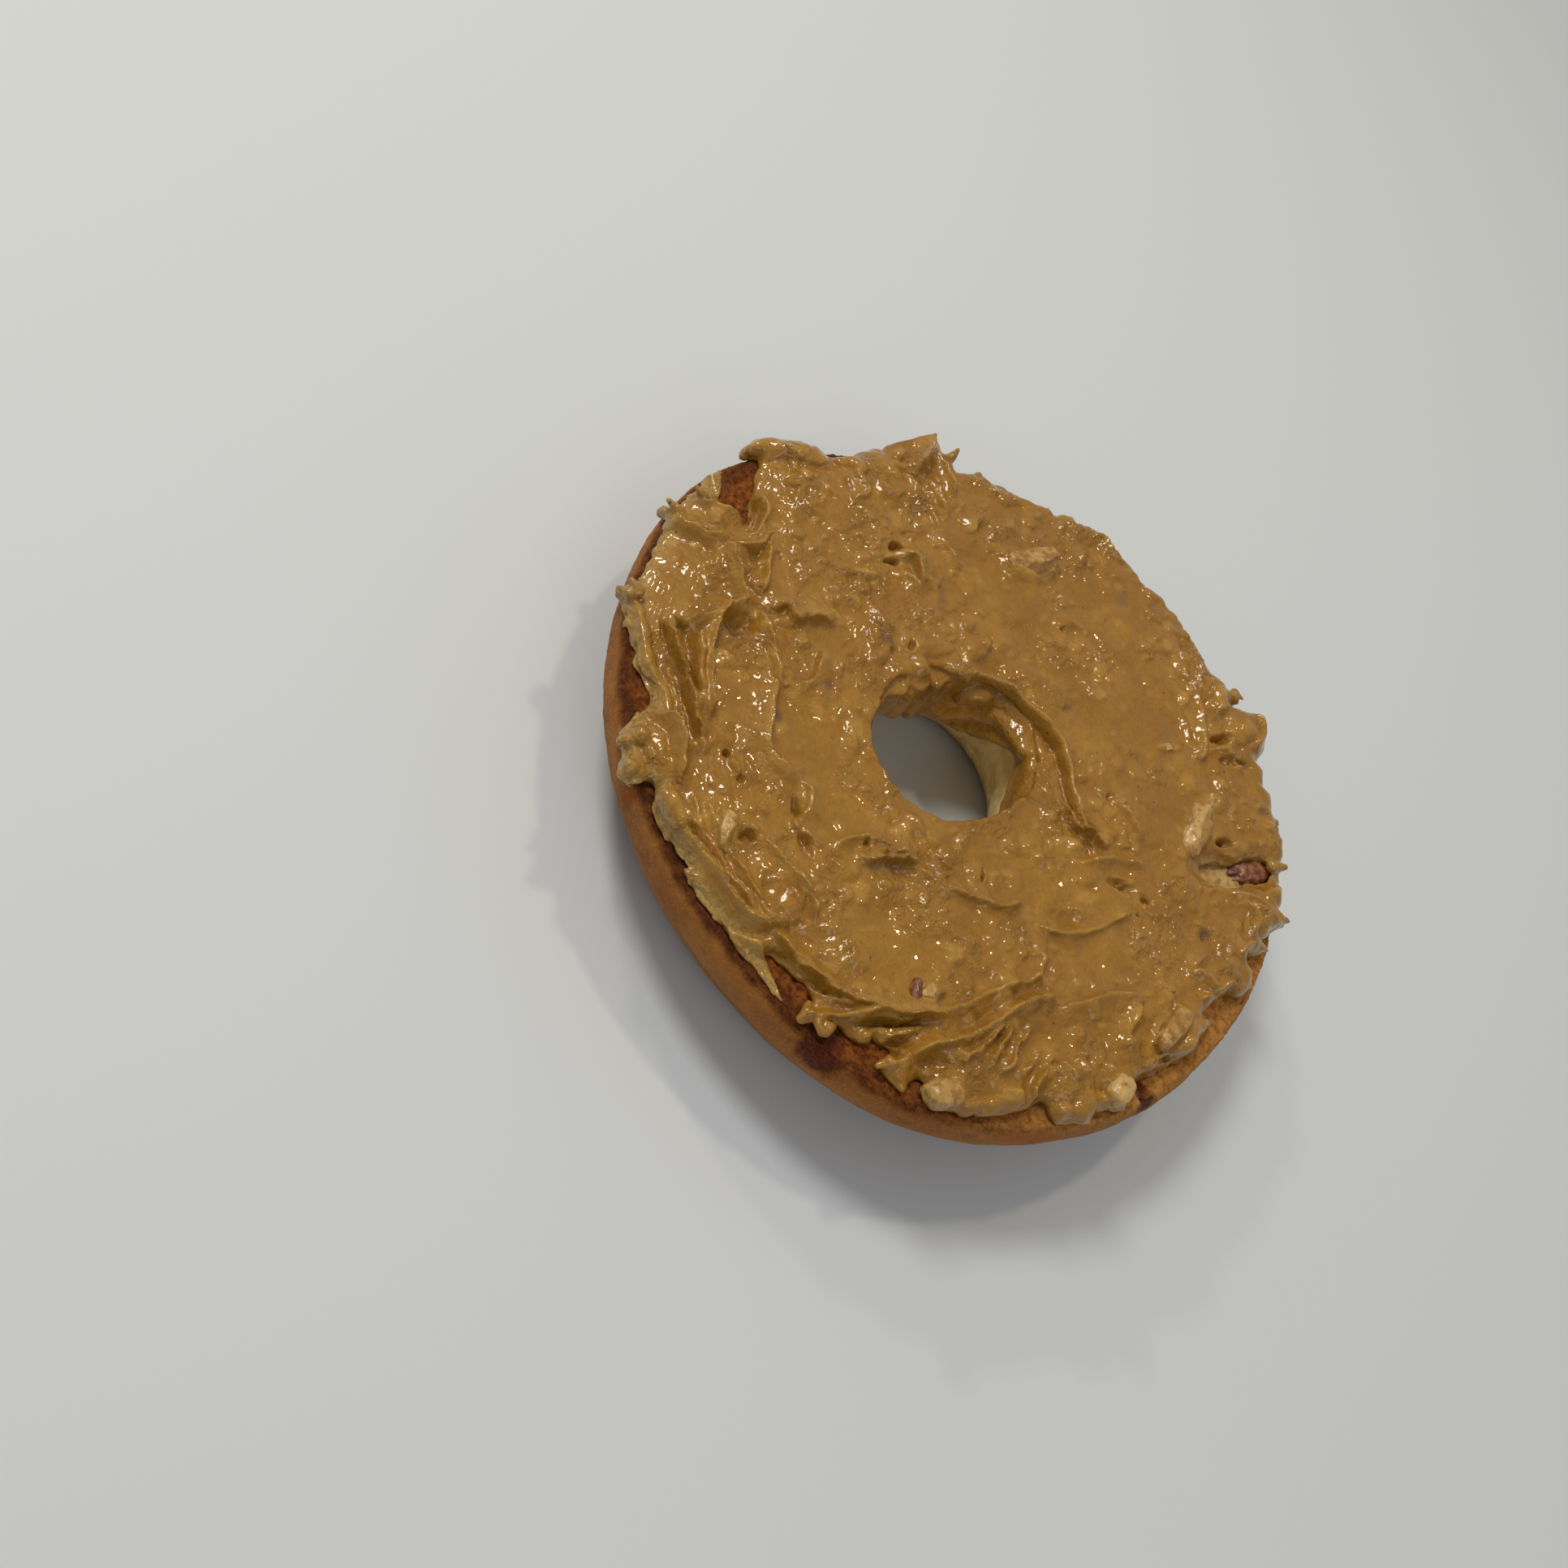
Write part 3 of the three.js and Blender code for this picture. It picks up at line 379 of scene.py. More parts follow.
# Tips and hooks that stand clear: from, to, radius at each. Heights are above the cut face.
TIPS = [
    ((-50.5, -12.9, 1.6), (-52.5, -13.6, 2.4), 1, 0.35), ((-50.8, -7.6, 1.6), (-52.3, -8, 2.4), 0.8, 0.25),
    ((-40.2, 32.5, 2.4), (-40.7, 35.1, 4.2), 1.5, 0.3), ((-42.5, 27.6, 1.6), (-41, 34.2, 3.3), 1.3, 0.6),
    ((-43.9, -27.6, 2.2), (-45.4, -28, 3.2), 0.9, 0.3), ((-44.4, -28.7, 1.8), (-45.7, -29, 1.4), 0.9, 0.4),
    ((-28.3, -41.8, 1.6), (-29.3, -44, 0.8), 1.3, 0.6), ((-25.9, -46, 1.4), (-25.9, -46.8, 0.6), 1.1, 0.8),
    ((-19.9, -45.6, 2.6), (-17.1, -46.3, 2.4), 1.5, 1.3),
    ((9.5, -48.6, 1.4), (10.2, -50.3, 0.5), 0.6, 0.3), ((20.9, -45.4, 1.6), (20.3, -46.7, 1.4), 0.9, 0.4),
    ((22.7, -45, 1), (24.4, -45.5, 0.5), 0.8, 0.3), ((46, 23.2, 1.8), (48, 24.7, 1.8), 1, 0.3),
    ((46, 16.3, 1.8), (48.1, 17.5, 1.4), 0.8, 0.3), ((47.6, 7.7, 1.6), (49.1, 10, 1.4), 1.2, 0.5),
    ((41.2, 30.4, 1.6), (42.5, 32.2, 1.6), 1, 0.6), ((19.2, 50.6, 2), (20.5, 50.9, 2.2), 0.8, 0.3),
    ((-36.8, 36.4, 2.2), (-36.9, 37.3, 3.6), 0.9, 0.35), ((-39, 34.4, 2.4), (-40.3, 34.6, 3.8), 1.2, 0.35),
    ((-35.2, -16.9, 3.6), (-35, -16.3, 4.8), 0.8, 0.3),
    ((-37, -26.9, 3.8), (-37.9, -27.7, 4.8), 0.7, 0.35),
    ((-41.2, -4.8, 3.2), (-40.8, -4.5, 4.2), 0.6, 0.3), ((-23.4, -20.7, 3), (-22.8, -20.2, 3.6), 0.5, 0.3),
    ((-13.3, -28.1, 3), (-12.8, -27.4, 3.4), 0.5, 0.3), ((11.4, -48.3, 1.4), (12, -49.2, 1.2), 0.45, 0.42),
    ((12, -49.3, 1.4), (12.9, -49.5, 1.2), 0.42, 0.4), ((12.9, -49.6, 1.4), (13.5, -48.9, 1.2), 0.42, 0.4),
    ((13.5, -49, 1.4), (13.3, -48, 1.2), 0.42, 0.4), ((13.3, -48.2, 1.4), (12.6, -48.3, 1.2), 0.42, 0.38),
    ((-14.1, 1.1, 2.4), (-12.5, -1.3, 0.2), 1.5, 1), ((-12.5, -1.3, 0.2), (-11.6, -1.6, -0.6), 0.9, 0.4),
    ((-14.4, -1.1, 2.4), (-12.7, -2.7, 0.6), 0.8, 0.5), ((-13.1, 1.4, 2.2), (-11.5, 0.7, 0.4), 1, 0.6),
]

# Knife-flattened places, with less grain: x, y, radius.
SMOOTH_PLACES = [
    (14, 30, 11), (-14, 24, 8), (-3, 40, 8), (24, 18, 6), (-17, -25, 9), (-5, -30, 7), (20, -11, 6),
    (31, -8, 5), (12, -33, 7), (-24, -31, 5), (8, 19, 6), (34, 44, 8), (-26, -8, 4), (24, -2, 5),
    (-36, 17, 4), (-42, -25, 5.5),
]

# The outline of the topping on the cut face: a smooth closed curve runs through these points.
OUTLINE = [
    (-24.5, -46.5), (-27, -46), (-28, -44), (-30.5, -42.5), (-31.5, -36), (-36, -34.5), (-43.5, -29.5),
    (-46, -28.5), (-46, -26.5), (-45, -26.5), (-47.5, -21), (-50.5, -15), (-53, -13.5), (-51.5, -11.5),
    (-52.5, -8), (-53.5, -0.5), (-49.5, -4.5), (-48, -4), (-45, -4), (-50, 3.5), (-52, 6.5), (-53, 5),
    (-54.5, 5), (-54.5, 9.5), (-50, 16), (-46.5, 18), (-44.5, 26), (-42.5, 29), (-41.5, 37.5), (-39, 35.5),
    (-38, 37.5), (-41.5, 37), (-39.5, 35.5), (-38.5, 37), (-37, 37), (-37, 38.5), (-35, 36), (-32.5, 40.5),
    (-31, 40.5), (-23.5, 45), (-22, 47.5), (-21, 46.5), (-18.5, 49.5), (-17, 49), (-13.5, 52), (-9.5, 51),
    (-7, 52), (-4, 51.5), (4.5, 52.5), (13, 50), (20.5, 50.5), (20, 49), (21, 48), (25.5, 51.5), (29, 46),
    (29, 43.5), (31, 43), (32.5, 41), (34.5, 40.5), (42.5, 32.5), (46.5, 24.5), (48, 25), (46.5, 17),
    (48, 17.5), (46.5, 12.5), (48.5, 12), (49.5, 7.5), (47.5, 5.5), (47, -0.5), (48.5, 0), (48.5, -4),
    (49, -6.5), (45.5, -17.5), (46.5, -21.5), (44, -25), (44, -27.5), (40.5, -31.5), (38, -31),
    (36.5, -35), (30.5, -42.5), (25, -42.5), (24.5, -45.5), (20.5, -46), (21, -43.5), (18, -44), (17, -46),
    (13, -47), (10, -50.5), (9, -46.5), (1.5, -48), (7, -50.5), (-10.5, -49.5), (-12, -48), (-19, -47.5),
    (-22.5, -44.5),
]

# ---------------------------------------------------------------- the grids under the topping

STEP = 0.26
X0, Y0 = -58.5, -55.0
NX, NY = int(115 / STEP), int(111 / STEP)
GX, GY = np.meshgrid(X0 + STEP * np.arange(NX), Y0 + STEP * np.arange(NY), indexing="ij")


def speckle(size, layer):
    """Noise over the grids with spots of a size. Each layer is a pattern of its own."""
    return noise(GX / size, GY / size, layer)


# The grids a little warped, so that nothing worked out on them runs quite true.
WX = GX + 0.28 * speckle(3.5, 1.5) + 0.16 * speckle(1.3, 2.5)
WY = GY + 0.28 * speckle(3.5, 5.5) + 0.16 * speckle(1.3, 6.5)
RADIUS = np.hypot(GX, GY)
ANGLE = np.degrees(np.arctan2(GY, GX))
ARC = np.radians(ANGLE) * RADIUS
TURN = np.degrees(np.arctan2(GY - HOLE_Y, GX - HOLE_X)) % 360  # round the hole
HOLE = hole_distance(GX, GY)


def span(low, high, start):
    """The grid's numbers from a low to a high place along an axis that starts at a place."""
    return slice(max(int((low - start) / STEP), 0), int((high - start) / STEP) + 1)


def window(x, y, reach):
    """The part of the grids within reach of a point, and a little more."""
    reach = reach + 2 * STEP
    return np.s_[span(x - reach, x + reach, X0), span(y - reach, y + reach, Y0)]


def blurred(grid, reach):
    """The grid's mean over squares of a half width, taken twice."""
    n = max(int(reach / STEP), 1)
    for axis in (0, 1, 0, 1):
        pad = [(n + 1, n) if a == axis else (0, 0) for a in (0, 1)]
        total = np.moveaxis(np.cumsum(np.pad(grid, pad, mode="edge"), axis), axis, 0)
        grid = np.moveaxis((total[2 * n + 1:] - total[:-2 * n - 1]) / (2 * n + 1), 0, axis)
    return grid


def sample(grid, x, y):
    """A grid's values between its points."""
    i = np.clip((x - X0) / STEP, 0, NX - 1.001)
    j = np.clip((y - Y0) / STEP, 0, NY - 1.001)
    i0, j0 = i.astype(int), j.astype(int)
    fi, fj = i - i0, j - j0
    low = grid[i0, j0] * (1 - fj) + grid[i0, j0 + 1] * fj
    high = grid[i0 + 1, j0] * (1 - fj) + grid[i0 + 1, j0 + 1] * fj
    return low * (1 - fi) + high * fi


def turned_to(start, end, soft):
    """1 between two ways round the bagel in degrees, 0 elsewhere, blended over a number of degrees."""
    past = np.mod(ANGLE - start, 360)
    return band(past, 0, soft, end - start - soft, end - start)


FAR_EDGE = turned_to(0, 120, 20)
NEAR_EDGE = turned_to(195, 285, 20)  # where the knife left long strands


def ellipse(place, x, y):
    """0 in the middle of an ellipse (x, y, length, width, degrees, ...), 1 on its edge."""
    along, across = turned(x - place[0], y - place[1], -place[4])
    return np.hypot(along / (place[2] / 2), across / (place[3] / 2))


def near(place):
    """The part of the grids round an ellipse, and there 0 in its middle and 1 on its edge."""
    part = window(place[0], place[1], max(place[2:4]))
    return part, ellipse(place, WX[part], WY[part])


def spots(places, shape):
    """A grid of the highest of all the places' shapes, each worked out from its row and its ellipse."""
    grid = np.zeros_like(GX)
    for place in places:
        part, q = near(place)
        grid[part] = np.maximum(grid[part], shape(place, q))
    return grid


def discs(places, gone):
    """1 inside round places (x, y, radius), 0 outside them from a share of the radius on."""
    grid = np.zeros_like(GX)
    for x, y, radius in places:
        grid = np.maximum(grid, fade(np.hypot(WX - x, WY - y) / radius, 0.6, gone))
    return grid


# ---------------------------------------------------------------- ridges, rolls and crumbs

PATH_STEP = 0.4  # distance between the points of a path
CREST = 0.18  # radius of the round top of a ridge
# Ridges are made taller, since they melt into the rest: by how much, at two places from left to right.
GROWTH_X, GROWTH = (-12, 6), (1.75, 1.5)
FLAKE_GROWTH = 0.8
FLAKES, CRUMBS = 320, 1500  # how many there are
CRUMB_SIZES, CRUMB_SHARES = (1.1, 1.7, 2.5, 3.4), (0.36, 0.36, 0.2, 0.08)
PALE_CRUMBS = 0.3  # share of them


def smooth_path(points, closed=False):
    """Close, even points on a smooth curve through the given ones, which may come back to its start."""
    p = np.array(points, float)
    first, last = (p[-1], p[0]) if closed else (2 * p[0] - p[1], 2 * p[-1] - p[-2])
    p = np.vstack([first, p, last] + ([p[1]] if closed else []))
    out = []
    for a, b, c, d in zip(p, p[1:], p[2:], p[3:]):
        count = max(2, int(np.linalg.norm(c - b) / PATH_STEP))
        out.append(between(a, b, c, d, np.linspace(0, 1, count, endpoint=False)[:, None]))
    return np.vstack(out if closed else out + [p[-2]])


def near_path(path, reach):
    """The part of the grids near a path; and there the distance to it, on which side it lies, how far along
    its nearest point is and how far from an end, and which way the path runs."""
    low, high = path.min(0) - reach, path.max(0) + reach
    part = np.s_[span(low[0], high[0], X0), span(low[1], high[1], Y0)]
    x, y = WX[part], WY[part]
    best, which = np.full(x.shape, np.inf), np.zeros(x.shape, int)
    for number, (px, py) in enumerate(path):
        distance = (x - px) ** 2 + (y - py) ** 2
        nearer = distance < best
        best[nearer], which[nearer] = distance[nearer], number
    tangent = np.gradient(path, axis=0)
    tangent /= np.linalg.norm(tangent, axis=1, keepdims=True) + 1e-9
    to_x, to_y = tangent[which, 0], tangent[which, 1]
    side = to_x * (y - path[which, 1]) - to_y * (x - path[which, 0])
    to_end = np.minimum(which, len(path) - 1 - which) * PATH_STEP
    return part, np.sqrt(best), side, which * PATH_STEP, to_end, (to_x, to_y)


def somewhere(rng, inner, outer):
    """A random point between two radii."""
    radius = math.sqrt(rng.uniform(inner**2, outer**2))
    turn = rng.uniform(0, 2 * math.pi)
    return radius * math.cos(turn), radius * math.sin(turn)


def flakes():
    """Small torn edges: short bent strokes, steep on one side, with the same values as STROKES."""
    rng = np.random.default_rng(3)
    rows = []
    for _ in range(FLAKES):
        x, y = somewhere(rng, 17.0, 50.0)
        way, bend, length = rng.uniform(0, 2 * math.pi), rng.normal(0, 0.5), rng.uniform(1.2, 3.6)
        path = [(x, y)]
        for _ in range(3):
            way += bend + rng.normal(0, 0.35)
            x, y = x + length / 3 * math.cos(way), y + length / 3 * math.sin(way)
            path.append((x, y))
        rows.append((path, rng.uniform(0.7, 1.8), rng.uniform(0.16, 0.35), rng.uniform(0.25, 0.75)))
    return rows


def ridge(number, points, left, right, height, lean=0):
    """One knife ridge or flake: its part of the grids, its height there and how it leans in x and y."""
    path = smooth_path(points)
    part, distance, side, along, to_end, way = near_path(path, 3.2 * max(left, right))
    is_flake = number >= len(STROKES)
    width = np.where(side > 0, max(left, 0.5), max(right, 0.42))
    taper = np.clip((to_end + 0.24) / (1.0 if is_flake else 2.4), 0, 1) ** 0.7
    waver = 1 + 0.3 * noise(along / 2.6, number * 3.1, 0.5)
    crest = 0.7 * np.exp((CREST - np.hypot(distance, CREST)) / (0.55 * width))
    crest = (crest + 0.3 * bell(distance, 1.9 * width)) * fade(distance, 2.2 * width, 3.2 * width)
    growth = FLAKE_GROWTH if is_flake else np.interp(path[:, 0].mean(), GROWTH_X, GROWTH)
    push = lean * taper * bell(distance, 1.2 * max(width.min(), 0.7))
    return part, growth * height * taper * waver * crest, (-way[1] * push, way[0] * push)


def roll(number, points, radius, height):
    """One thick roll: its part of the grids and its height there."""
    part, distance, _, along, to_end, _ = near_path(smooth_path(points), 1.3 * radius)
    waver = 1 + 0.16 * noise(along / 2.2, number * 5.1, 2.5)
    return part, height * dome(distance / (radius * waver), 0.55) * (0.8 + 0.2 * np.clip(to_end / 2.0, 0, 1))


def stroke_maps(calm):
    """Height of all the knife ridges, flakes and rolls, and how far they lean in x and y."""
    raised, lean_x, lean_y = (np.zeros_like(GX) for _ in range(3))
    for number, stroke in enumerate(STROKES + flakes()):
        part, value, lean = ridge(number, *stroke)
        if number >= len(STROKES):
            value = value * (1 - 0.9 * calm[part])
        raised[part] = smax(raised[part], value, 0.12)
        lean_x[part] += lean[0]
        lean_y[part] += lean[1]
    for number, row in enumerate(ROLLS):
        part, value = roll(number, *row)
        raised[part] = smax(raised[part], value, 0.3)
    return raised, lean_x, lean_y


def grain_map(calm):
    """Small nut crumbs under the surface, as low domes; and which of them look paler."""
    rng = np.random.default_rng(21)
    grain, pale = np.zeros_like(GX), np.zeros_like(GX)
    for _ in range(CRUMBS):
        x, y = somewhere(rng, 13.0, 52.0)
        size = rng.choice(CRUMB_SIZES, p=CRUMB_SHARES) * rng.uniform(0.8, 1.25)
        stretch = rng.uniform(0.5, 0.95)
        tall = 0.21 * size**0.75 * rng.uniform(0.5, 1.3)
        part, q = near((x, y, size, size * stretch, rng.uniform(0, 180)))
        crumb = dome(q, 0.75)
        grain[part] = np.maximum(grain[part], tall * crumb)
        if rng.random() < PALE_CRUMBS:
            pale[part] = np.maximum(pale[part], crumb * rng.uniform(0.3, 0.9))
    return grain * (1 - 0.72 * calm), pale


# ---------------------------------------------------------------- the topping's height map

# How far in from its edge the topping reaches its full thickness, every 30 degrees.
EDGE_SLOPE = (3.0, 2.4, 2.4, 2.0, 2.0, 3.4, 6.0, 7.0, 9.0, 7.5, 5.0, 4.2)
# The curl beside the hole: the way round the hole in degrees and how far outside it the curl's rim stands.
CURL = [
    (5, 14), (13, 11), (19, 8.1), (25, 6.7), (36, 4.9), (48, 3.7), (55, 3.3), (63, 2.1), (79, -0.1),
    (89, -0.8), (99, -1.4), (119, -2.4), (130, -2.4),
]
FAN_X, FAN_Y = -46, -7  # where the streaks of the film at the left rim meet
THINNEST = 0.28  # height of the thinnest film


def outline_distance():
    """Distance inside the topping's outline; below zero outside it."""
    x, y = GX + 0.2 * speckle(1.6, 2.2), GY + 0.2 * speckle(1.6, 7.2)
    corners = smooth_path(OUTLINE, closed=True)[::2]
    best, inside = np.full(GX.shape, np.inf), np.zeros(GX.shape, bool)
    for (ax, ay), (bx, by) in zip(corners, np.roll(corners, -1, 0)):
        ex, ey = bx - ax, by - ay
        t = np.clip(((x - ax) * ex + (y - ay) * ey) / (ex * ex + ey * ey + 1e-9), 0, 1)
        best = np.minimum(best, (x - ax - t * ex) ** 2 + (y - ay - t * ey) ** 2)
        if ay != by:
            inside ^= ((ay > y) != (by > y)) & (x < ex * (y - ay) / ey + ax)
    return np.where(inside, 1, -1) * np.sqrt(best)


def curl_height():
    """The rim of the curl beside the hole, and the drop inside it."""
    turns, radii = zip(*CURL)
    away = HOLE - np.interp(TURN, turns, radii) + 0.25 * noise(TURN / 13, 2.2)
    share = band(TURN, 6, 20, 108, 126)
    drop = share * fade(away, -1.4, 0.1) * (0.8 + 0.5 * smoothstep(TURN, 28, 58))
    drop += share * (0.7 * fade(HOLE, -1.0, 3.0) + 0.8 * bell(away + 0.6, 0.3))
    return share * 0.9 * bell(away - 0.3, 0.55) - drop


def plain_height(calm, rough, edge):
    """The topping's height before its features, and the share of it that is left towards the edge."""
    waves = 0.45 * fbm(WX / 9, WY / 9, 3.3)
    strands = NEAR_EDGE * fade(edge, 3.5, 7.0)
    # the knife's streaks run round the ring
    streaks = (0.07 + 0.48 * strands) * noise(RADIUS / 0.9, ARC / 7.0, 8.8)
    ripples = 0.14 * fbm(GX / 1.5, GY / 1.5, 4.4, 2) * (1 - 0.75 * calm)
    creases = 1 - np.abs(noise(WX / 1.5, WY / 1.5, 9.1)) - np.abs(noise(WX / 2.6, WY / 2.6, 4.1))
    creases = (0.06 + 0.34 * rough) * creases + 0.14 * rough * speckle(0.75, 9.1)
    slope = around(EDGE_SLOPE, ANGLE)
    rise = np.clip((edge + 0.6 * speckle(3, 6.6)) / slope, 0, 1)
    rounded = np.sqrt(rise * (2 - rise))
    edge_share = 0.2 + 0.8 * (rise + (rounded - rise) * smoothstep(slope, 5.5, 3.0))
    return THICKNESS + waves + streaks + ripples + creases, edge_share


def with_openings(height, edge):
    """Lowers the height and draws the edge back where the topping is torn open."""
    for place in OPENINGS:
        gap = (ellipse(place, WX, WY) - 1) * place[3] / 2
        edge = np.where(gap < 3, smin(edge, gap, 0.3), edge)
        height = height * (0.45 + 0.55 * smoothstep(gap, 0.0, 2.2))
    return height, edge


def with_film(height, edge):
    """The height, lowered where only a film is left; the film's weight; and the left rim's skirt's weight."""
    film = spots(FILMS, lambda place, q: fade(q, 0.6, 1.15))
    rays = noise(np.degrees(np.arctan2(GY - FAN_Y, GX - FAN_X)) / 3.5, 5.5)
    height = height * (1 - film) + film * (0.42 + 0.2 * rays + 0.1 * speckle(1, 7))
    skirt = band(ANGLE % 360, 185, 195, 262, 275) * fade(edge + 0.8 * speckle(2, 3), 0.4, 3.0)
    film = np.maximum(film, fade(height, 0.7, 2.0) * skirt)
    film = np.maximum(film, 0.6 * turned_to(5, 105, 15) * fade(edge, 0.2, 1.2))
    return height, film, skirt


def topping_maps():
    """The topping's 2-D maps: height, edge distance, lean, and the weights that colour it, by the names
    that its material reads. "over" is 1 where the topping is past the rim of the bread."""
    calm = discs(SMOOTH_PLACES, 1.15)
    rough = smoothstep(speckle(6.0, 12.2), 0.0, 0.35) * (1 - calm)
    rough = np.maximum(rough, discs(ROUGH_PLACES, 1.1))
    grain, pale = grain_map(calm)
    raised, lean_x, lean_y = stroke_maps(calm)
    lump = spots(LUMPS, lambda place, q: place[5] * dome(q, 0.6))
    pit = spots(PITS, lambda place, q: place[5] * dome(q, 1.0)) * (0.7 + 0.35 * speckle(0.9, 3.7))
    edge = outline_distance()
    height, edge_share = plain_height(calm, rough, edge)
    height, edge = with_openings((height + grain) * edge_share, edge)
    height += (smax(raised, lump, 0.4) - 0.1 - pit) * (0.35 + 0.65 * smoothstep(edge, 0.0, 0.9))
    height += curl_height()
    for place in NUTS:
        part, q = near(place)
        height[part] += 0.35 * place[5] * fade(q, 0.75, 1.5)
    height, film, skirt = with_film(height, edge)
    return {
        "height": np.maximum(height, THINNEST), "edge": edge, "lean_x": lean_x, "lean_y": lean_y,
        "nut": spots(NUTS, lambda place, q: fade(q, 0.7, 1.35)),
        "stain": spots(STAINS, lambda place, q: place[5] * fade(q, 0.45, 1.15)),
        "pale": pale, "rough": rough, "film": film, "skirt": skirt,
        "over": smoothstep(RADIUS - around(CUT_RADII, ANGLE), -0.6, 1.2),
        # how far the height stands above its surroundings; the material paints crests lighter and hollows
        # darker with it, as painted highlight and shade
        "crest": height - blurred(height, 1.3),
    }


# ---------------------------------------------------------------- the topping's solid

# How deep the spread runs down the hole's wall and how thick, every 30 degrees round the hole.
SMEAR_DEPTH = (4.0, 6.5, 3.4, 10.6, 11.4, 10.0, 6.6, 2.2, 0.7, 0.7, 0.7, 1.2)
SMEAR_THICK = (1.1, 1.2, 1.7, 2.4, 3.3, 3.6, 2.3, 1.2, 0.9, 0.9, 0.9, 1.0)
# Folds on that wall: path in degrees and height, half width, how far they stand out.
FOLDS = [
    ([(112, -7.6), (98, -4.6), (85, -2.0), (72, -1.0), (58, 0.4)], 1.1, 1.2),
    ([(97, -9.0), (86, -6.0), (74, -3.6)], 0.9, 0.9), ([(126, -9.6), (114, -8.4), (104, -7.0)], 0.8, 0.9),
    ([(112, -1.6), (104, -0.6), (100, -0.4)], 1.2, 1.6), ([(188, 1.0), (186, -3.0), (180, -6.5)], 1.3, 1.0),
    ([(166, 1.0), (164, -4.0), (160, -9.0)], 1.5, 1.1), ([(146, 0.6), (143, -4.5), (140, -9.6)], 1.2, 0.9),
    ([(130, 0.0), (126, -4.0), (120, -8.0)], 1.0, 0.8),
]
WALL_ARC = 0.24  # millimetres of wall per degree round the hole
LOW, HIGH = -12.9, 7.4  # span of the solid's grid above the cut face
SHEET_LOW = -1.6  # the sheet on the cut face is worked out from here up
OUTSIDE = -3.0  # the field's value well outside
LINING_REACH = 26  # from the hole's middle
RAGGED_REACH = 2.5  # how far from the topping's edge its outline changes with the height
TORN_POINTS = 22

RAGGED = 1.0 * noise(TURN / 14, 3.3) + 0.6 * noise(TURN / 5, 8.1)
DEEPEST = around(SMEAR_DEPTH, TURN) * (1 + 0.16 * RAGGED)
CURLED = band(TURN, 0, 25, 100, 135)  # the curl's ways round the hole
HOLE_NEAR_SIDE = band(TURN, 165, 190, 240, 270)
LINING = around(SMEAR_THICK, TURN)
# How far the curl leans over the hole.
JUT = np.interp(TURN, (0, 70, 90, 120, 150, 360), (0, 0.6, 2.4, 3.2, 0, 0))


def wall_folds(levels):
    """How far the folds stand out of the hole's lining, for every degree round and each level."""
    turn, z = np.meshgrid(np.arange(361), levels, indexing="ij")
    across = turn * WALL_ARC + 0.35 * noise(turn / 8.0, z / 2.0, 4.4)
    out = np.zeros(turn.shape)
    for points, half, tall in FOLDS:
        for px, pz in smooth_path([(a * WALL_ARC, h) for a, h in points])[::2]:
            out = np.maximum(out, tall * dome(np.hypot(across - px, z - pz) / (1.6 * half), 0.8))
    return out


def sheet_at(z, maps):
    """The field of the sheet on the cut face, at a height above it."""
    lift = np.clip((z - 1.6) / 3.0, 0, 1.4) ** 1.5
    x, y = GX - maps["lean_x"] * lift, GY - maps["lean_y"] * lift
    height, edge = sample(maps["height"], x, y), sample(maps["edge"], x, y)
    by_edge = np.abs(maps["edge"]) < RAGGED_REACH
    edge[by_edge] += 0.5 * noise(GX[by_edge] / 2.0, GY[by_edge] / 2.0, z / 1.2)
    edge[by_edge] += 0.6 * NEAR_EDGE[by_edge] * noise(ARC[by_edge] / 6.0, z / 0.5, 3.0)
    lip = HOLE + 1.0 - 1.4 * CURLED - 0.6 * HOLE_NEAR_SIDE + JUT * smoothstep(z, 0.8, 2.2)
    lip = lip + 0.35 * noise(TURN / 9, z / 2.5, 4.0)
    # its top and edge, then its lip at the hole, then its underside, which hangs lower past the rim
    sheet = smin(height - z, edge, np.clip((0.5 - 0.28 * FAR_EDGE) * height, 0.2, 1.3))
    return smin(smin(sheet, lip, 0.7), z + 0.12 + 1.2 * maps["over"], 0.25)


def lining_at(z, folds):
    """The field of the lining on the hole's wall, at a height."""
    wall = flare(max(-z, 0.0))
    thick = LINING - 0.3 + np.interp(TURN, np.arange(361), folds)
    thick = thick + 0.3 * noise(TURN / 16, z / 3.4, 6.0) + 0.18 * noise(TURN / 6, z / 1.6, 7.0)
    thinned = np.clip((DEEPEST + z) / 2.4, 0, 1)
    thick = thick * np.sqrt(thinned * (2 - thinned) + 0.02)
    top = np.minimum(1.9 - 0.5 * CURLED - z, 3.0)
    inner = HOLE - (wall - thick)
    lining = np.where(CURLED > 0, smin(inner, top, 0.4 + 2.2 * CURLED), np.minimum(inner, top))
    lining = np.minimum(np.minimum(lining, wall + 0.25 - HOLE), z + DEEPEST)
    return np.where(np.hypot(GX - HOLE_X, GY - HOLE_Y) < LINING_REACH, lining, OUTSIDE)


def topping_field(maps):
    """A field over a grid of points, above zero inside the peanut butter; and the grid's levels."""
    levels = LOW + STEP * np.arange(int((HIGH - LOW) / STEP))
    field = np.empty((NX, NY, len(levels)), np.float32)
    folds = wall_folds(levels)
    for k, z in enumerate(levels):
        sheet = sheet_at(z, maps) if z > SHEET_LOW else OUTSIDE
        field[:, :, k] = smax(sheet, lining_at(z, folds[:, k]), 0.5)
    for tip in TIPS + torn_points():
        add_tip(field, levels, *tip)
    return field, levels


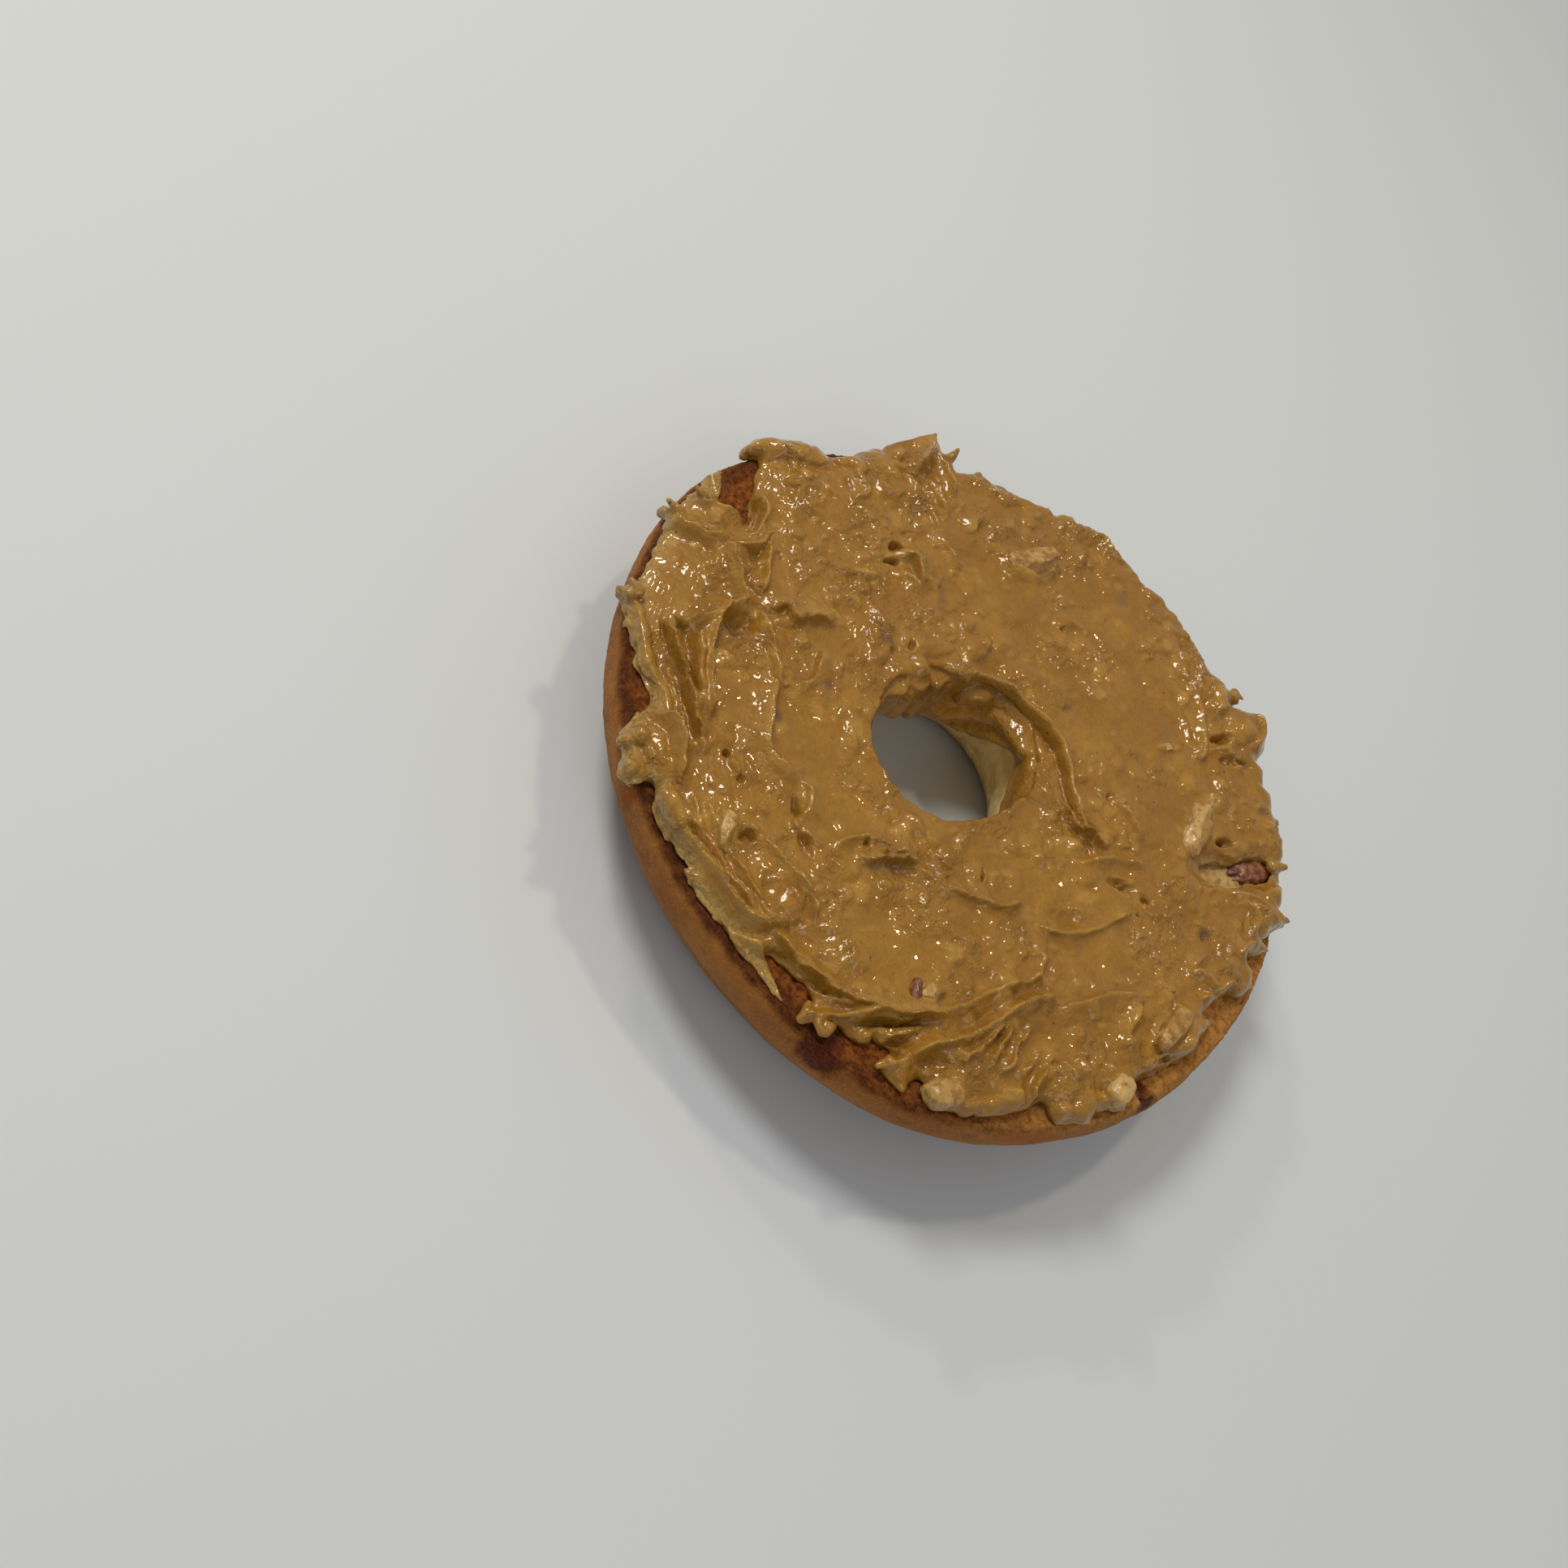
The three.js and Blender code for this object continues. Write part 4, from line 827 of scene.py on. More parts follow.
def torn_points():
    """Small pale points that stick out along the far edge: the same values as TIPS."""
    rng = np.random.default_rng(11)
    rows = []
    for degrees in np.sort(rng.uniform(38, 102, TORN_POINTS)):
        edge = float(around(CUT_RADII, degrees))
        z, reach = rng.uniform(0.8, 1.6), rng.uniform(-0.3, 0.6)
        start = (*turned(edge - 1.6, 0, degrees), z)
        end = (*turned(edge + reach, 0, degrees - rng.uniform(0, 2)), z + 0.3)
        rows.append((start, end, rng.uniform(0.5, 0.8), rng.uniform(0.1, 0.25)))
    return rows


def add_tip(field, levels, start, end, start_radius, end_radius):
    """Joins a tapering round tip to the field."""
    start, end = np.array(start), np.array(end)
    reach = max(start_radius, end_radius) + 1.5
    low, high = np.minimum(start, end) - reach, np.maximum(start, end) + reach
    part = tuple(span(*ends) for ends in zip(low, high, (X0, Y0, LOW)))
    x, y, z = GX[part[:2]][..., None], GY[part[:2]][..., None], levels[None, None, part[2]]
    axis = end - start
    from_start = (x - start[0], y - start[1], z - start[2])
    t = np.clip(sum(d * a for d, a in zip(from_start, axis)) / (axis @ axis), 0, 1)
    away = np.sqrt(sum((d - t * a) ** 2 for d, a in zip(from_start, axis)))
    away = away + 0.18 * noise(x / 1.3, y / 1.3, z / 1.3)
    radius = start_radius + (end_radius - start_radius) * t
    field[part] = smax(field[part], (radius - away).astype(np.float32), 0.6)


def cell_points(field, cells):
    """A point in each cell of the grid that the surface runs through: the mean of its edges' crossings."""
    value = np.stack([field[tuple((cells + corner).T)] for corner in CORNERS], 1)
    total, hits = np.zeros((len(cells), 3)), np.zeros(len(cells))
    for a, b in itertools.combinations(range(8), 2):
        start, way = np.array(CORNERS[a]), np.subtract(CORNERS[b], CORNERS[a])
        if np.abs(way).sum() == 1:
            crosses = (value[:, a] > 0) != (value[:, b] > 0)
            t = np.where(crosses, value[:, a] / np.where(crosses, value[:, a] - value[:, b], 1), 0)
            total += np.where(crosses[:, None], start + t[:, None] * way, 0)
            hits += crosses
    return cells + total / hits[:, None]


def cell_faces(inside, number):
    """A four-sided face across each edge of the grid that leaves the solid, between its four cells."""
    faces = []
    for axis in range(3):
        u, v = (n for n in range(3) if n != axis)
        along = np.moveaxis(inside, axis, 0)
        changes = np.argwhere(along[1:] != along[:-1])
        at = np.empty_like(changes)
        at[:, axis], at[:, u], at[:, v] = changes.T
        ring = []
        for back_u, back_v in ((0, 0), (1, 0), (1, 1), (0, 1)):
            cell = at.copy()
            cell[:, u] -= back_u
            cell[:, v] -= back_v
            ring.append(number[tuple(cell.T)])
        ring = np.stack(ring, 1)
        leaves = inside[tuple(at.T)]
        backwards = leaves if axis == 1 else ~leaves
        ring[backwards] = ring[backwards][:, ::-1]
        faces.append(ring)
    return np.concatenate(faces)


def surface_nets(field, levels):
    """A closed mesh round the places where the field is above zero: points and four-sided faces."""
    field[0], field[-1], field[:, 0], field[:, -1], field[:, :, 0], field[:, :, -1] = (-1,) * 6
    inside = field > 0
    nx, ny, nz = (n - 1 for n in field.shape)
    count = sum(inside[i:i + nx, j:j + ny, k:k + nz].astype(np.int8) for i, j, k in CORNERS)
    cells = np.argwhere((count > 0) & (count < 8))
    number = np.full((nx, ny, nz), -1, np.int64)
    number[tuple(cells.T)] = np.arange(len(cells))
    points = np.array([X0, Y0, levels[0]]) + STEP * cell_points(field, cells)
    return points, cell_faces(inside, number)


# ---------------------------------------------------------------- meshes and pieces


def make_mesh(name, points, faces, weights=None):
    """A mesh from points in millimetres round the cut face's centre, and faces with equally many sides."""
    mesh = bpy.data.meshes.new(name)
    world = (points + np.array([*CENTRE, CUT])) * MM
    mesh.vertices.add(len(world))
    mesh.vertices.foreach_set("co", world.astype(np.float32).ravel())
    mesh.loops.add(faces.size)
    mesh.loops.foreach_set("vertex_index", faces.astype(np.int32).ravel())
    mesh.polygons.add(len(faces))
    mesh.polygons.foreach_set("loop_start", np.arange(0, faces.size, faces.shape[1], dtype=np.int32))
    mesh.update(calc_edges=True)
    mesh.polygons.foreach_set("use_smooth", np.ones(len(faces), bool))
    for key, value in (weights or {}).items():
        layer = mesh.attributes.new(key, "FLOAT", "POINT")
        layer.data.foreach_set("value", np.asarray(value, np.float32))
    mesh.validate()
    return mesh


def make_piece(name, mesh, material):
    """A piece of the looks: it moves with the bagel's one body and carries its material."""
    piece = bpy.data.objects.new(name, mesh)
    bpy.context.scene.collection.objects.link(piece)
    mesh.materials.append(material)
    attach(piece, "root")
    return piece


# ---------------------------------------------------------------- materials


class Nodes:
    """A short way to write a material's node tree. Sizes are in millimetres."""

    def __init__(self, name):
        self.material = bpy.data.materials.new(name)
        self.material.use_nodes = True
        self.tree = self.material.node_tree
        self.shader = self.tree.nodes["Principled BSDF"]
        place = self.add("ShaderNodeTexCoord", {})["Object"]
        self.mm = self.add("ShaderNodeVectorMath", {0: place, "Scale": 1 / MM}, operation="SCALE")[0]

    def put(self, value, socket):
        """A number, a colour or another node's output into a socket."""
        if isinstance(value, bpy.types.NodeSocket):
            self.tree.links.new(value, socket)
        else:
            socket.default_value = value

    def add(self, kind, inputs, **settings):
        """A node of a kind, with its settings and inputs; gives its outputs."""
        node = self.tree.nodes.new(kind)
        for key, value in settings.items():
            setattr(node, key, value)
        for key, value in inputs.items():
            self.put(value, node.inputs[key])
        return node.outputs

    def attribute(self, name):
        return self.add("ShaderNodeAttribute", {}, attribute_name=name)["Fac"]

    def noise(self, size, detail, roughness=0.5):
        inputs = {"Vector": self.mm, "Scale": 1 / size, "Detail": detail, "Roughness": roughness}
        return self.add("ShaderNodeTexNoise", inputs)["Fac"]

    def cells(self, size):
        """Distance from the middle of the nearest cell, and the cell's own colour."""
        outputs = self.add("ShaderNodeTexVoronoi", {"Vector": self.mm, "Scale": 1 / size})
        return outputs["Distance"], outputs["Color"]

    def ramp(self, value, low, high, to_low=0.0, to_high=1.0):
        """A smooth step from one value at low to another at high."""
        inputs = {"Value": value, "From Min": low, "From Max": high, "To Min": to_low, "To Max": to_high}
        return self.add("ShaderNodeMapRange", inputs, interpolation_type="SMOOTHSTEP")["Result"]

    def math(self, operation, a, b=0.0):
        return self.add("ShaderNodeMath", {0: a, 1: b}, operation=operation)[0]

    def times(self, a, b):
        return self.math("MULTIPLY", a, b)

    def mix(self, share, a, b):
        """Colour a at a share of 0, colour b at 1. The node keeps its colour sockets at 6, 7 and 2."""
        return self.add("ShaderNodeMix", {"Factor": share, 6: a, 7: b}, data_type="RGBA")[2]

    def bump(self, height, strength, distance, **normal):
        """A bump of a depth, over that of another bump where Normal= gives one."""
        inputs = {"Height": height, "Strength": strength, "Distance": distance * MM, **normal}
        return self.add("ShaderNodeBump", inputs)["Normal"]

    def set(self, **values):
        """Values for the shader, by the names of its sockets."""
        for key, value in values.items():
            self.put(value, self.shader.inputs[key.replace("_", " ")])


def srgb(r, g, b):
    """A colour as seen, 0 to 255, as the linear values that a shader takes."""
    def linear(v):
        v /= 255
        return v / 12.92 if v <= 0.04045 else ((v + 0.055) / 1.055) ** 2.4
    return (linear(r), linear(g), linear(b), 1.0)


def peanut_butter_material():
    n = Nodes("peanut_butter")
    crest, rough = n.attribute("crest"), n.attribute("rough")
    colour = n.mix(n.ramp(n.noise(6.0, 3), 0.35, 0.68), srgb(140, 97, 27), srgb(153, 110, 38))
    colour = n.mix(n.ramp(n.noise(0.9, 4, 0.6), 0.45, 0.75, 0, 0.4), colour, srgb(124, 82, 20))
    # painted highlight on the crests and painted shade in the hollows, from how far the surface stands above
    # its surroundings
    colour = n.mix(n.ramp(crest, 0.1, 0.9, 0, 0.45), colour, srgb(172, 132, 58))
    colour = n.mix(n.ramp(crest, -0.7, -0.05, 0.5, 0), colour, srgb(118, 77, 16))
    film = n.mix(n.ramp(n.noise(0.6, 3, 0.6), 0.4, 0.62), srgb(146, 116, 56), srgb(178, 152, 96))
    # deep paints the spread lighter the further it runs down the hole: painted light in the shaded hole
    for name, strength, tint in (
        ("pale", 0.45, srgb(180, 138, 60)), ("nut", 0.4, srgb(182, 142, 66)), ("film", 0.6, film),
        ("deep", 0.6, srgb(190, 138, 52)), ("stain", 0.8, srgb(84, 62, 46)),
    ):
        colour = n.mix(n.times(n.attribute(name), strength), colour, tint)
    # skin of the nuts: a dark dot in the middle of about a third of the cells
    distance, cell = n.cells(2.3)
    chosen = n.ramp(n.math("FRACT", n.times(cell, 7.3)), 0.62, 0.66)
    dots = n.times(n.ramp(distance, 0.05, 0.1, 1, 0), chosen)
    colour = n.mix(n.times(dots, 0.8), colour, srgb(76, 38, 12))
    n.set(Base_Color=colour, Roughness=n.ramp(n.noise(2.2, 3), 0.3, 0.7, 0.2, 0.35))
    n.set(Subsurface_Weight=0.12, Subsurface_Radius=(1.0, 0.65, 0.3), Subsurface_Scale=0.7 * MM, IOR=1.45)
    n.set(Specular_IOR_Level=0.3, Specular_Tint=(1.0, 0.8, 0.5, 1.0), Coat_Weight=0.65, Coat_Roughness=0.03)
    torn = n.ramp(rough, 0.0, 1.0, 0.4, 1.0)
    grain = n.bump(n.noise(0.42, 3, 0.6), torn, 0.36)
    n.set(Normal=n.bump(n.noise(1.0, 2, 0.5), torn, 0.34, Normal=grain))
    n.set(Coat_Normal=n.bump(n.noise(0.9, 2, 0.5), n.ramp(rough, 0.0, 1.0, 0.12, 0.5), 0.2))
    return n.material


def nut_material():
    n = Nodes("nut")
    colour = n.mix(n.ramp(n.noise(2.6, 2), 0.35, 0.65), srgb(190, 158, 98), srgb(168, 128, 64))
    covered = n.math("SUBTRACT", n.attribute("coat"), 0.4)
    smear = n.ramp(n.math("ADD", n.noise(1.5, 4, 0.6), covered), 0.4, 0.56)
    n.set(Base_Color=n.mix(smear, colour, srgb(146, 102, 34)), Roughness=0.32)
    n.set(Subsurface_Weight=0.35, Subsurface_Radius=(1.0, 0.7, 0.4), Subsurface_Scale=1.2 * MM)
    n.set(Coat_Weight=0.25, Coat_Roughness=0.12, Normal=n.bump(n.noise(0.7, 4, 0.6), 0.7, 0.25))
    return n.material


def raisin_material():
    n = Nodes("raisin")
    colour = n.mix(n.ramp(n.noise(1.1, 4), 0.35, 0.65), srgb(92, 46, 26), srgb(142, 90, 60))
    n.set(Base_Color=colour, Roughness=0.4, Coat_Weight=0.3, Coat_Roughness=0.1)
    n.set(Subsurface_Weight=0.2, Subsurface_Radius=(1.0, 0.4, 0.2), Subsurface_Scale=0.8 * MM)
    n.set(Normal=n.bump(n.noise(0.6, 3), 0.6, 0.2))
    return n.material


def crust_colour(n, mid, fine):
    colour = n.mix(n.ramp(n.noise(10.0, 3), 0.35, 0.7), srgb(154, 101, 44), srgb(136, 82, 31))
    colour = n.mix(n.ramp(mid, 0.4, 0.75, 0, 0.5), colour, srgb(116, 70, 32))
    colour = n.mix(n.ramp(fine, 0.45, 0.7, 0, 0.5), colour, srgb(172, 119, 63))
    colour = n.mix(n.ramp(n.noise(0.7, 4, 0.7), 0.55, 0.75, 0, 0.4), colour, srgb(96, 54, 24))
    colour = n.mix(n.times(n.attribute("under"), 0.6), colour, srgb(120, 74, 34))
    return n.mix(n.times(n.attribute("blush"), 0.6), colour, srgb(150, 76, 26))


def crumb_colour(n, mid):
    """The toasted cut face: brown, golden in places, nearly black where it is charred, and darker in the torn
    openings as painted shade.
    """
    grains = n.noise(0.8, 4, 0.7)
    brown = n.mix(n.ramp(grains, 0.35, 0.65), srgb(84, 38, 7), srgb(142, 80, 25))
    golden = n.mix(n.ramp(grains, 0.3, 0.6), srgb(160, 100, 36), srgb(196, 142, 70))
    colour = n.mix(n.attribute("gold"), brown, golden)
    return n.mix(n.times(n.attribute("char_and_shade"), n.ramp(mid, 0.3, 0.6, 0.42, 0.82)), colour, srgb(50, 20, 5))


def bread_material():
    n = Nodes("bread")
    toast, mid, fine = n.attribute("toast"), n.noise(2.2, 4, 0.6), n.noise(0.45, 4, 0.65)
    colour = n.mix(toast, crust_colour(n, mid, fine), crumb_colour(n, mid))
    dough = n.mix(n.ramp(n.noise(3.5, 4), 0.35, 0.7), srgb(248, 226, 162), srgb(222, 190, 122))
    colour = n.mix(n.attribute("wall"), colour, dough)
    fruit = n.mix(n.ramp(fine, 0.35, 0.65), srgb(62, 22, 7), srgb(98, 42, 15))
    colour = n.mix(n.attribute("mark"), colour, fruit)
    n.set(Base_Color=colour, Roughness=n.ramp(mid, 0.3, 0.7, 0.6, 0.85))
    n.set(Subsurface_Weight=0.04, Subsurface_Radius=(1.0, 0.5, 0.25), Subsurface_Scale=0.8 * MM)
    n.set(Specular_IOR_Level=0.1, Sheen_Weight=0.08, Sheen_Roughness=0.5, Sheen_Tint=(1.0, 0.85, 0.7, 1.0))
    pores = n.bump(n.noise(0.42, 4, 0.7), n.ramp(toast, 0, 1, 0.8, 1.0), 0.26)
    n.set(Normal=n.bump(n.noise(1.3, 4, 0.65), 0.7, 0.3, Normal=pores))
    return n.material


# ---------------------------------------------------------------- the topping's pieces

NUT_GROWTH = 1.15  # nut pieces are made larger than the part of them that shows
NUT_TALL, RAISIN_TALL = 2.0, 1.2  # half their heights
NUT_PLANES = 6
NUT_SQUARENESS = 3.2  # 2 would be a ball, much more a box
BARE = 0.5  # nuts coated less than this get a piece of their own


def build_peanut_butter(maps):
    points, faces = surface_nets(*topping_field(maps))
    x, y, z = points.T
    weights = {key: sample(maps[key], x, y) for key in ("nut", "pale", "stain", "film", "rough", "crest")}
    weights["film"] = np.maximum(weights["film"], sample(maps["skirt"], x, y) * fade(z, 1.2, 2.6))
    # painted light: the spread is coloured lighter the deeper it runs down the hole
    weights["deep"] = smoothstep(-z, 0.0, 4.0)
    # the weight for painted highlights on crests and painted shade in hollows, on the top sheet only
    weights["crest"] = np.where(z > 0.5, weights["crest"], 0.0)
    mesh = make_mesh("peanut_butter_look", points, faces, weights)
    piece = make_piece("peanut_butter_look", mesh, peanut_butter_material())
    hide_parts("peanut_butter")


def fine_ball():
    """Points and faces of a ball of radius 1."""
    bm = bmesh.new()
    bmesh.ops.create_icosphere(bm, subdivisions=5, radius=1.0)
    points = np.array([v.co for v in bm.verts])
    faces = np.array([[v.index for v in f.verts] for f in bm.faces])
    bm.free()
    return points, faces


def laid(points, place, maps, above):
    """Points round the origin, laid at a place with their top as far above the topping as given."""
    x, y, z = points.T
    top = float(sample(maps["height"], np.array([place[0]]), np.array([place[1]]))[0]) + above
    x, y = turned(x, y, place[4])
    return np.stack([place[0] + x, place[1] + y, z - z.max() + top], 1)


def joined(name, shapes, faces, weights=None):
    """One mesh of several shapes that all have the same faces."""
    all_faces = [faces + number * len(points) for number, points in enumerate(shapes)]
    return make_mesh(name, np.concatenate(shapes), np.concatenate(all_faces), weights)


def nut_shape(ball, rng):
    """A chopped piece of nut: a squarish ball cut off by a few flat planes with soft edges."""
    planes = rng.normal(size=(NUT_PLANES, 3))
    planes /= np.linalg.norm(planes, axis=1, keepdims=True)
    reach = rng.uniform(0.72, 0.95, size=NUT_PLANES)
    size = (np.abs(ball) ** NUT_SQUARENESS).sum(1) ** (-1 / NUT_SQUARENESS)
    for normal, far in zip(planes, reach):
        facing = ball @ normal
        size = smin(size, np.where(facing > 0.05, far / np.maximum(facing, 0.05), 9.0), 0.06)
    x, y, z = ball.T
    rough = 1 + 0.07 * noise(x * 1.8, y * 1.8, z * 1.8) + 0.02 * noise(x * 6, y * 6, z * 6)
    return ball * (size * rough)[:, None]


def build_nuts(maps):
    """The nut pieces that are bare. Covered ones show as lumps of the topping only."""
    rng = np.random.default_rng(5)
    ball, faces = fine_ball()
    shapes, coats = [], []
    for place in (row for row in NUTS if row[6] < BARE):
        _, _, length, width, _, proud, coat = place
        points = nut_shape(ball, rng) * np.array([length * NUT_GROWTH / 2, width * NUT_GROWTH / 2, NUT_TALL])
        tilt = rng.normal(scale=0.1, size=2)
        points[:, 2] += tilt[0] * points[:, 0] + tilt[1] * points[:, 1]
        shapes.append(laid(points, place, maps, 0.2 + 0.35 * proud))
        coats.append(np.full(len(points), coat))
    mesh = joined("nut_pieces", shapes, faces, {"coat": np.concatenate(coats)})
    make_piece("nut_pieces", mesh, nut_material())


def build_raisins(maps):
    """Wrinkled raisins that lie in tears of the topping."""
    ball, faces = fine_ball()
    shapes = []
    for number, place in enumerate(RAISINS):
        points = ball * np.array([place[2] / 2, place[3] / 2, RAISIN_TALL])
        x, y, z = points.T
        folds = 1 - np.abs(noise(x / 1.6, y / 0.9 + 5 * number, z / 0.9)) * 2
        size = 1 + 0.14 * folds + 0.08 * noise(x / 0.7, y / 0.7, z / 0.7 + 9 * number)
        shapes.append(laid(points * size[:, None], place, maps, place[5]))
    make_piece("raisin_pieces", joined("raisin_pieces", shapes, faces), raisin_material())


# ---------------------------------------------------------------- bread

# Raisins under the crust: degrees round, depth below the cut face, half width, half height.
CRUST_MARKS = [(-73.5, 1.6, 3.0, 2.6), (-19, 1.0, 1.8, 1.4)]
# Redder places on the crust: the same values.
BLUSHES = [(-117, 2.0, 1.6, 2.6), (-40, 2.0, 5.0, 1.6), (20, 6, 6, 3), (95, 5, 8, 3), (200, 5, 6, 3)]
# Where the cut face is toasted darkest, every 30 degrees.
CHAR = (0.15, 0.2, 0.4, 0.5, 0.6, 0.9, 0.8, 1.0, 1.0, 1.0, 0.5, 0.15)

# The rows round the bread by zone: shares of the way down, or of the way out from the hole.
ZONES = {
    "side": np.linspace(0, 1, 60),
    "under": np.linspace(0.96, 0.04, 26),
    "wall": np.linspace(1, 0, 44),
    "face": np.concatenate([np.linspace(0.012, 0.70, 34), np.linspace(0.72, 0.995, 44)]),
}
COLUMNS = 760
ROUND = np.arange(COLUMNS) * 360 / COLUMNS  # the columns' degrees round the bread
COS, SIN = np.cos(np.radians(ROUND)), np.sin(np.radians(ROUND))
CUT_RIM = around(CUT_RADII, ROUND)
RAGGED_RIM = 0.16 * noise(ROUND / 1.6, 5.0) + 0.12 * noise(ROUND / 0.7, 9.0)
RIM_INSET = 0.35  # how far the rim's top edge is drawn in


def zone_points(zone, share):
    """One zone of the bread: x, y and z for each row and column."""
    if zone == "side":
        depth = CUT * np.sin(share * math.pi / 2) ** 1.1
        radius = BASE_RADIUS + (CUT_RIM - BASE_RADIUS) * np.cos(share * math.pi / 2) ** 0.72
        radius = radius + CRUST_BULGE * np.sin(math.pi * np.minimum(depth / BULGE_DEPTH, 1))
        radius = radius - RIM_INSET * np.maximum(0, 1 - depth / 0.6)
        radius = radius + RAGGED_RIM * np.maximum(0, 1 - depth / 0.8)
        return np.broadcast_arrays(radius * COS, radius * SIN, -depth)
    depth = {"under": CUT, "wall": CUT * np.sin(share * math.pi / 2), "face": 0.0}[zone]
    x, y = HOLE_X + (HOLE_A + flare(depth)) * COS, HOLE_Y + (HOLE_B + flare(depth)) * SIN
    if zone != "wall":
        outer = BASE_RADIUS if zone == "under" else CUT_RIM + RAGGED_RIM - RIM_INSET
        x, y = x * (1 - share) + outer * COS * share, y * (1 - share) + outer * SIN * share
    return np.broadcast_arrays(x, y, -depth)


def crust_spots(places, soft, x, y, z):
    """The highest weight of some places on the crust, on every row and column."""
    ragged = 0.35 * noise(x / 1.3, y / 1.3, z / 1.3) + 0.25 * noise(x / 0.5, y / 0.5, z / 0.5)
    weight = np.zeros_like(z)
    for at, deep, wide, tall in places:
        across = np.radians((ROUND - at + 540) % 360 - 180) * MEAN_RADIUS
        weight = np.maximum(weight, fade(np.hypot(across / wide, (-z - deep) / tall) + ragged, soft, 1.2))
    return weight


def zone_weights(zone, share, x, y, z):
    """What colours one zone of the bread, on every row and column: toast on the cut face, char_and_shade
    where it is darkest, charred by the rim and darkened as painted shade in the torn openings, gold where it
    is lightest, wall for pale dough, mark for a raisin, blush for redder crust and under for the part by the
    base."""
    weights = {key: np.zeros_like(z) for key in ("toast", "wall", "mark", "blush", "under", "char_and_shade")}
    weights["gold"] = np.clip(1 - 2 * around(CHAR, ROUND), 0, 1) + 0 * z
    if zone in ("side", "wall"):
        weights["under"] += smoothstep(share, 0.7, 1.0)
    elif zone == "under":
        weights["under"] += 1
    if zone == "wall":
        weights["wall"] += smoothstep(1 - share, 0.1, 0.45)
    if zone in ("side", "face"):
        by_rim = smoothstep(np.hypot(x, y) - CUT_RIM + 1.6 * noise(x / 3, y / 3, 1.0), -3.4, -0.6)
        weights["char_and_shade"] = around(CHAR, ROUND) * by_rim * (1 if zone == "face" else 0.8)
        weights["mark"] = crust_spots(CRUST_MARKS, 0.7, x, y, z)
        weights["blush"] = crust_spots(BLUSHES, 0.2, x, y, z)
        weights["toast"] += fade(-z + 0.5 * noise(x / 2.5, y / 2.5, 3.0), 0.3, 1.5)
    if zone == "face":
        weights["toast"] = np.ones_like(z)
        # in the torn openings the pale dough is mixed in only weakly and the crumb is darkened with the char
        # colour: painted shade in the recess
        torn = 0.4 - 0.25 * smoothstep(noise(x / 1.1, y / 1.1, 3.0), 0.1, 0.4)
        for place in OPENINGS:
            weights["wall"] = np.maximum(weights["wall"], torn * fade(ellipse(place, x, y), 1.0, 1.5))
        weights["char_and_shade"] = np.maximum(weights["char_and_shade"], weights["wall"])
    return weights


def bread_relief(points, faces, weights):
    """The bread's points, moved in or out: grain on toasted crumb, wrinkles on crust, waves in the hole."""
    a, b, c, d = (points[faces[:, k]] for k in range(4))
    face_normal = np.cross(c - a, d - b)
    normal = np.zeros_like(points)
    for k in range(4):
        np.add.at(normal, faces[:, k], face_normal)
    normal /= np.linalg.norm(normal, axis=1, keepdims=True) + 1e-12
    x, y, z = points.T
    toast, wall = weights["toast"], weights["wall"]
    crumb = 0.4 * fbm(x, y, z) - 0.14
    crust = 0.12 * fbm(x / 7, y / 7, z / 4) + 0.09 * fbm(x / 1.4, y / 1.4, z / 0.9, 2)
    dough = 0.3 * fbm(x / 3, y / 3, z / 3) - 0.2
    move = crust * (1 - toast) * (1 - wall) + crumb * toast + dough * wall
    move -= 0.35 * weights["mark"] * (0.6 + 0.8 * noise(x / 0.8, y / 0.8, z / 0.8))
    move = move * (0.25 + 0.75 * smoothstep(z, -CUT, 1.0 - CUT)) - 0.03
    moved = points + normal * move[:, None]
    moved[:, 2] = np.maximum(moved[:, 2], -CUT)
    return moved


def build_bread():
    points, weights = [], []
    for zone, share in ZONES.items():
        x, y, z = zone_points(zone, share[:, None])
        points.append(np.stack([x, y, z], -1).reshape(-1, 3))
        weights.append(zone_weights(zone, share[:, None], x, y, z))
    points = np.concatenate(points)
    weights = {key: np.concatenate([part[key].ravel() for part in weights]) for key in weights[0]}
    rows = len(points) // COLUMNS
    row, column = np.arange(rows)[:, None], np.arange(COLUMNS)
    this, following, beside = row * COLUMNS, (row + 1) % rows * COLUMNS, (column + 1) % COLUMNS
    faces = np.stack([this + column, following + column, following + beside, this + beside], -1)
    faces = faces.reshape(-1, 4)
    mesh = make_mesh("bread_look", bread_relief(points, faces, weights), faces, weights)
    piece = make_piece("bread_look", mesh, bread_material())
    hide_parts("bread")


# ---------------------------------------------------------------- floor, light, camera

FLOOR_HALF = 1.6  # metres
WARM = (1.0, 0.85, 0.58)
LAMPS = [  # name, direction from the bagel, distance, size, watts, colour
    ("overhead", (-0.56, 0.0, 0.83), 0.9, 0.22, 3.5, (1.0, 0.95, 0.87)),
    ("glint_a", (-0.1, 0.35, 0.93), 0.8, 0.06, 0.9, WARM),
    ("glint_b", (-0.75, 0.25, 0.6), 0.8, 0.06, 0.75, WARM),
    ("fill", (0.5, -0.5, 0.7), 1.0, 0.5, 1.1, (1, 1, 1)),
]
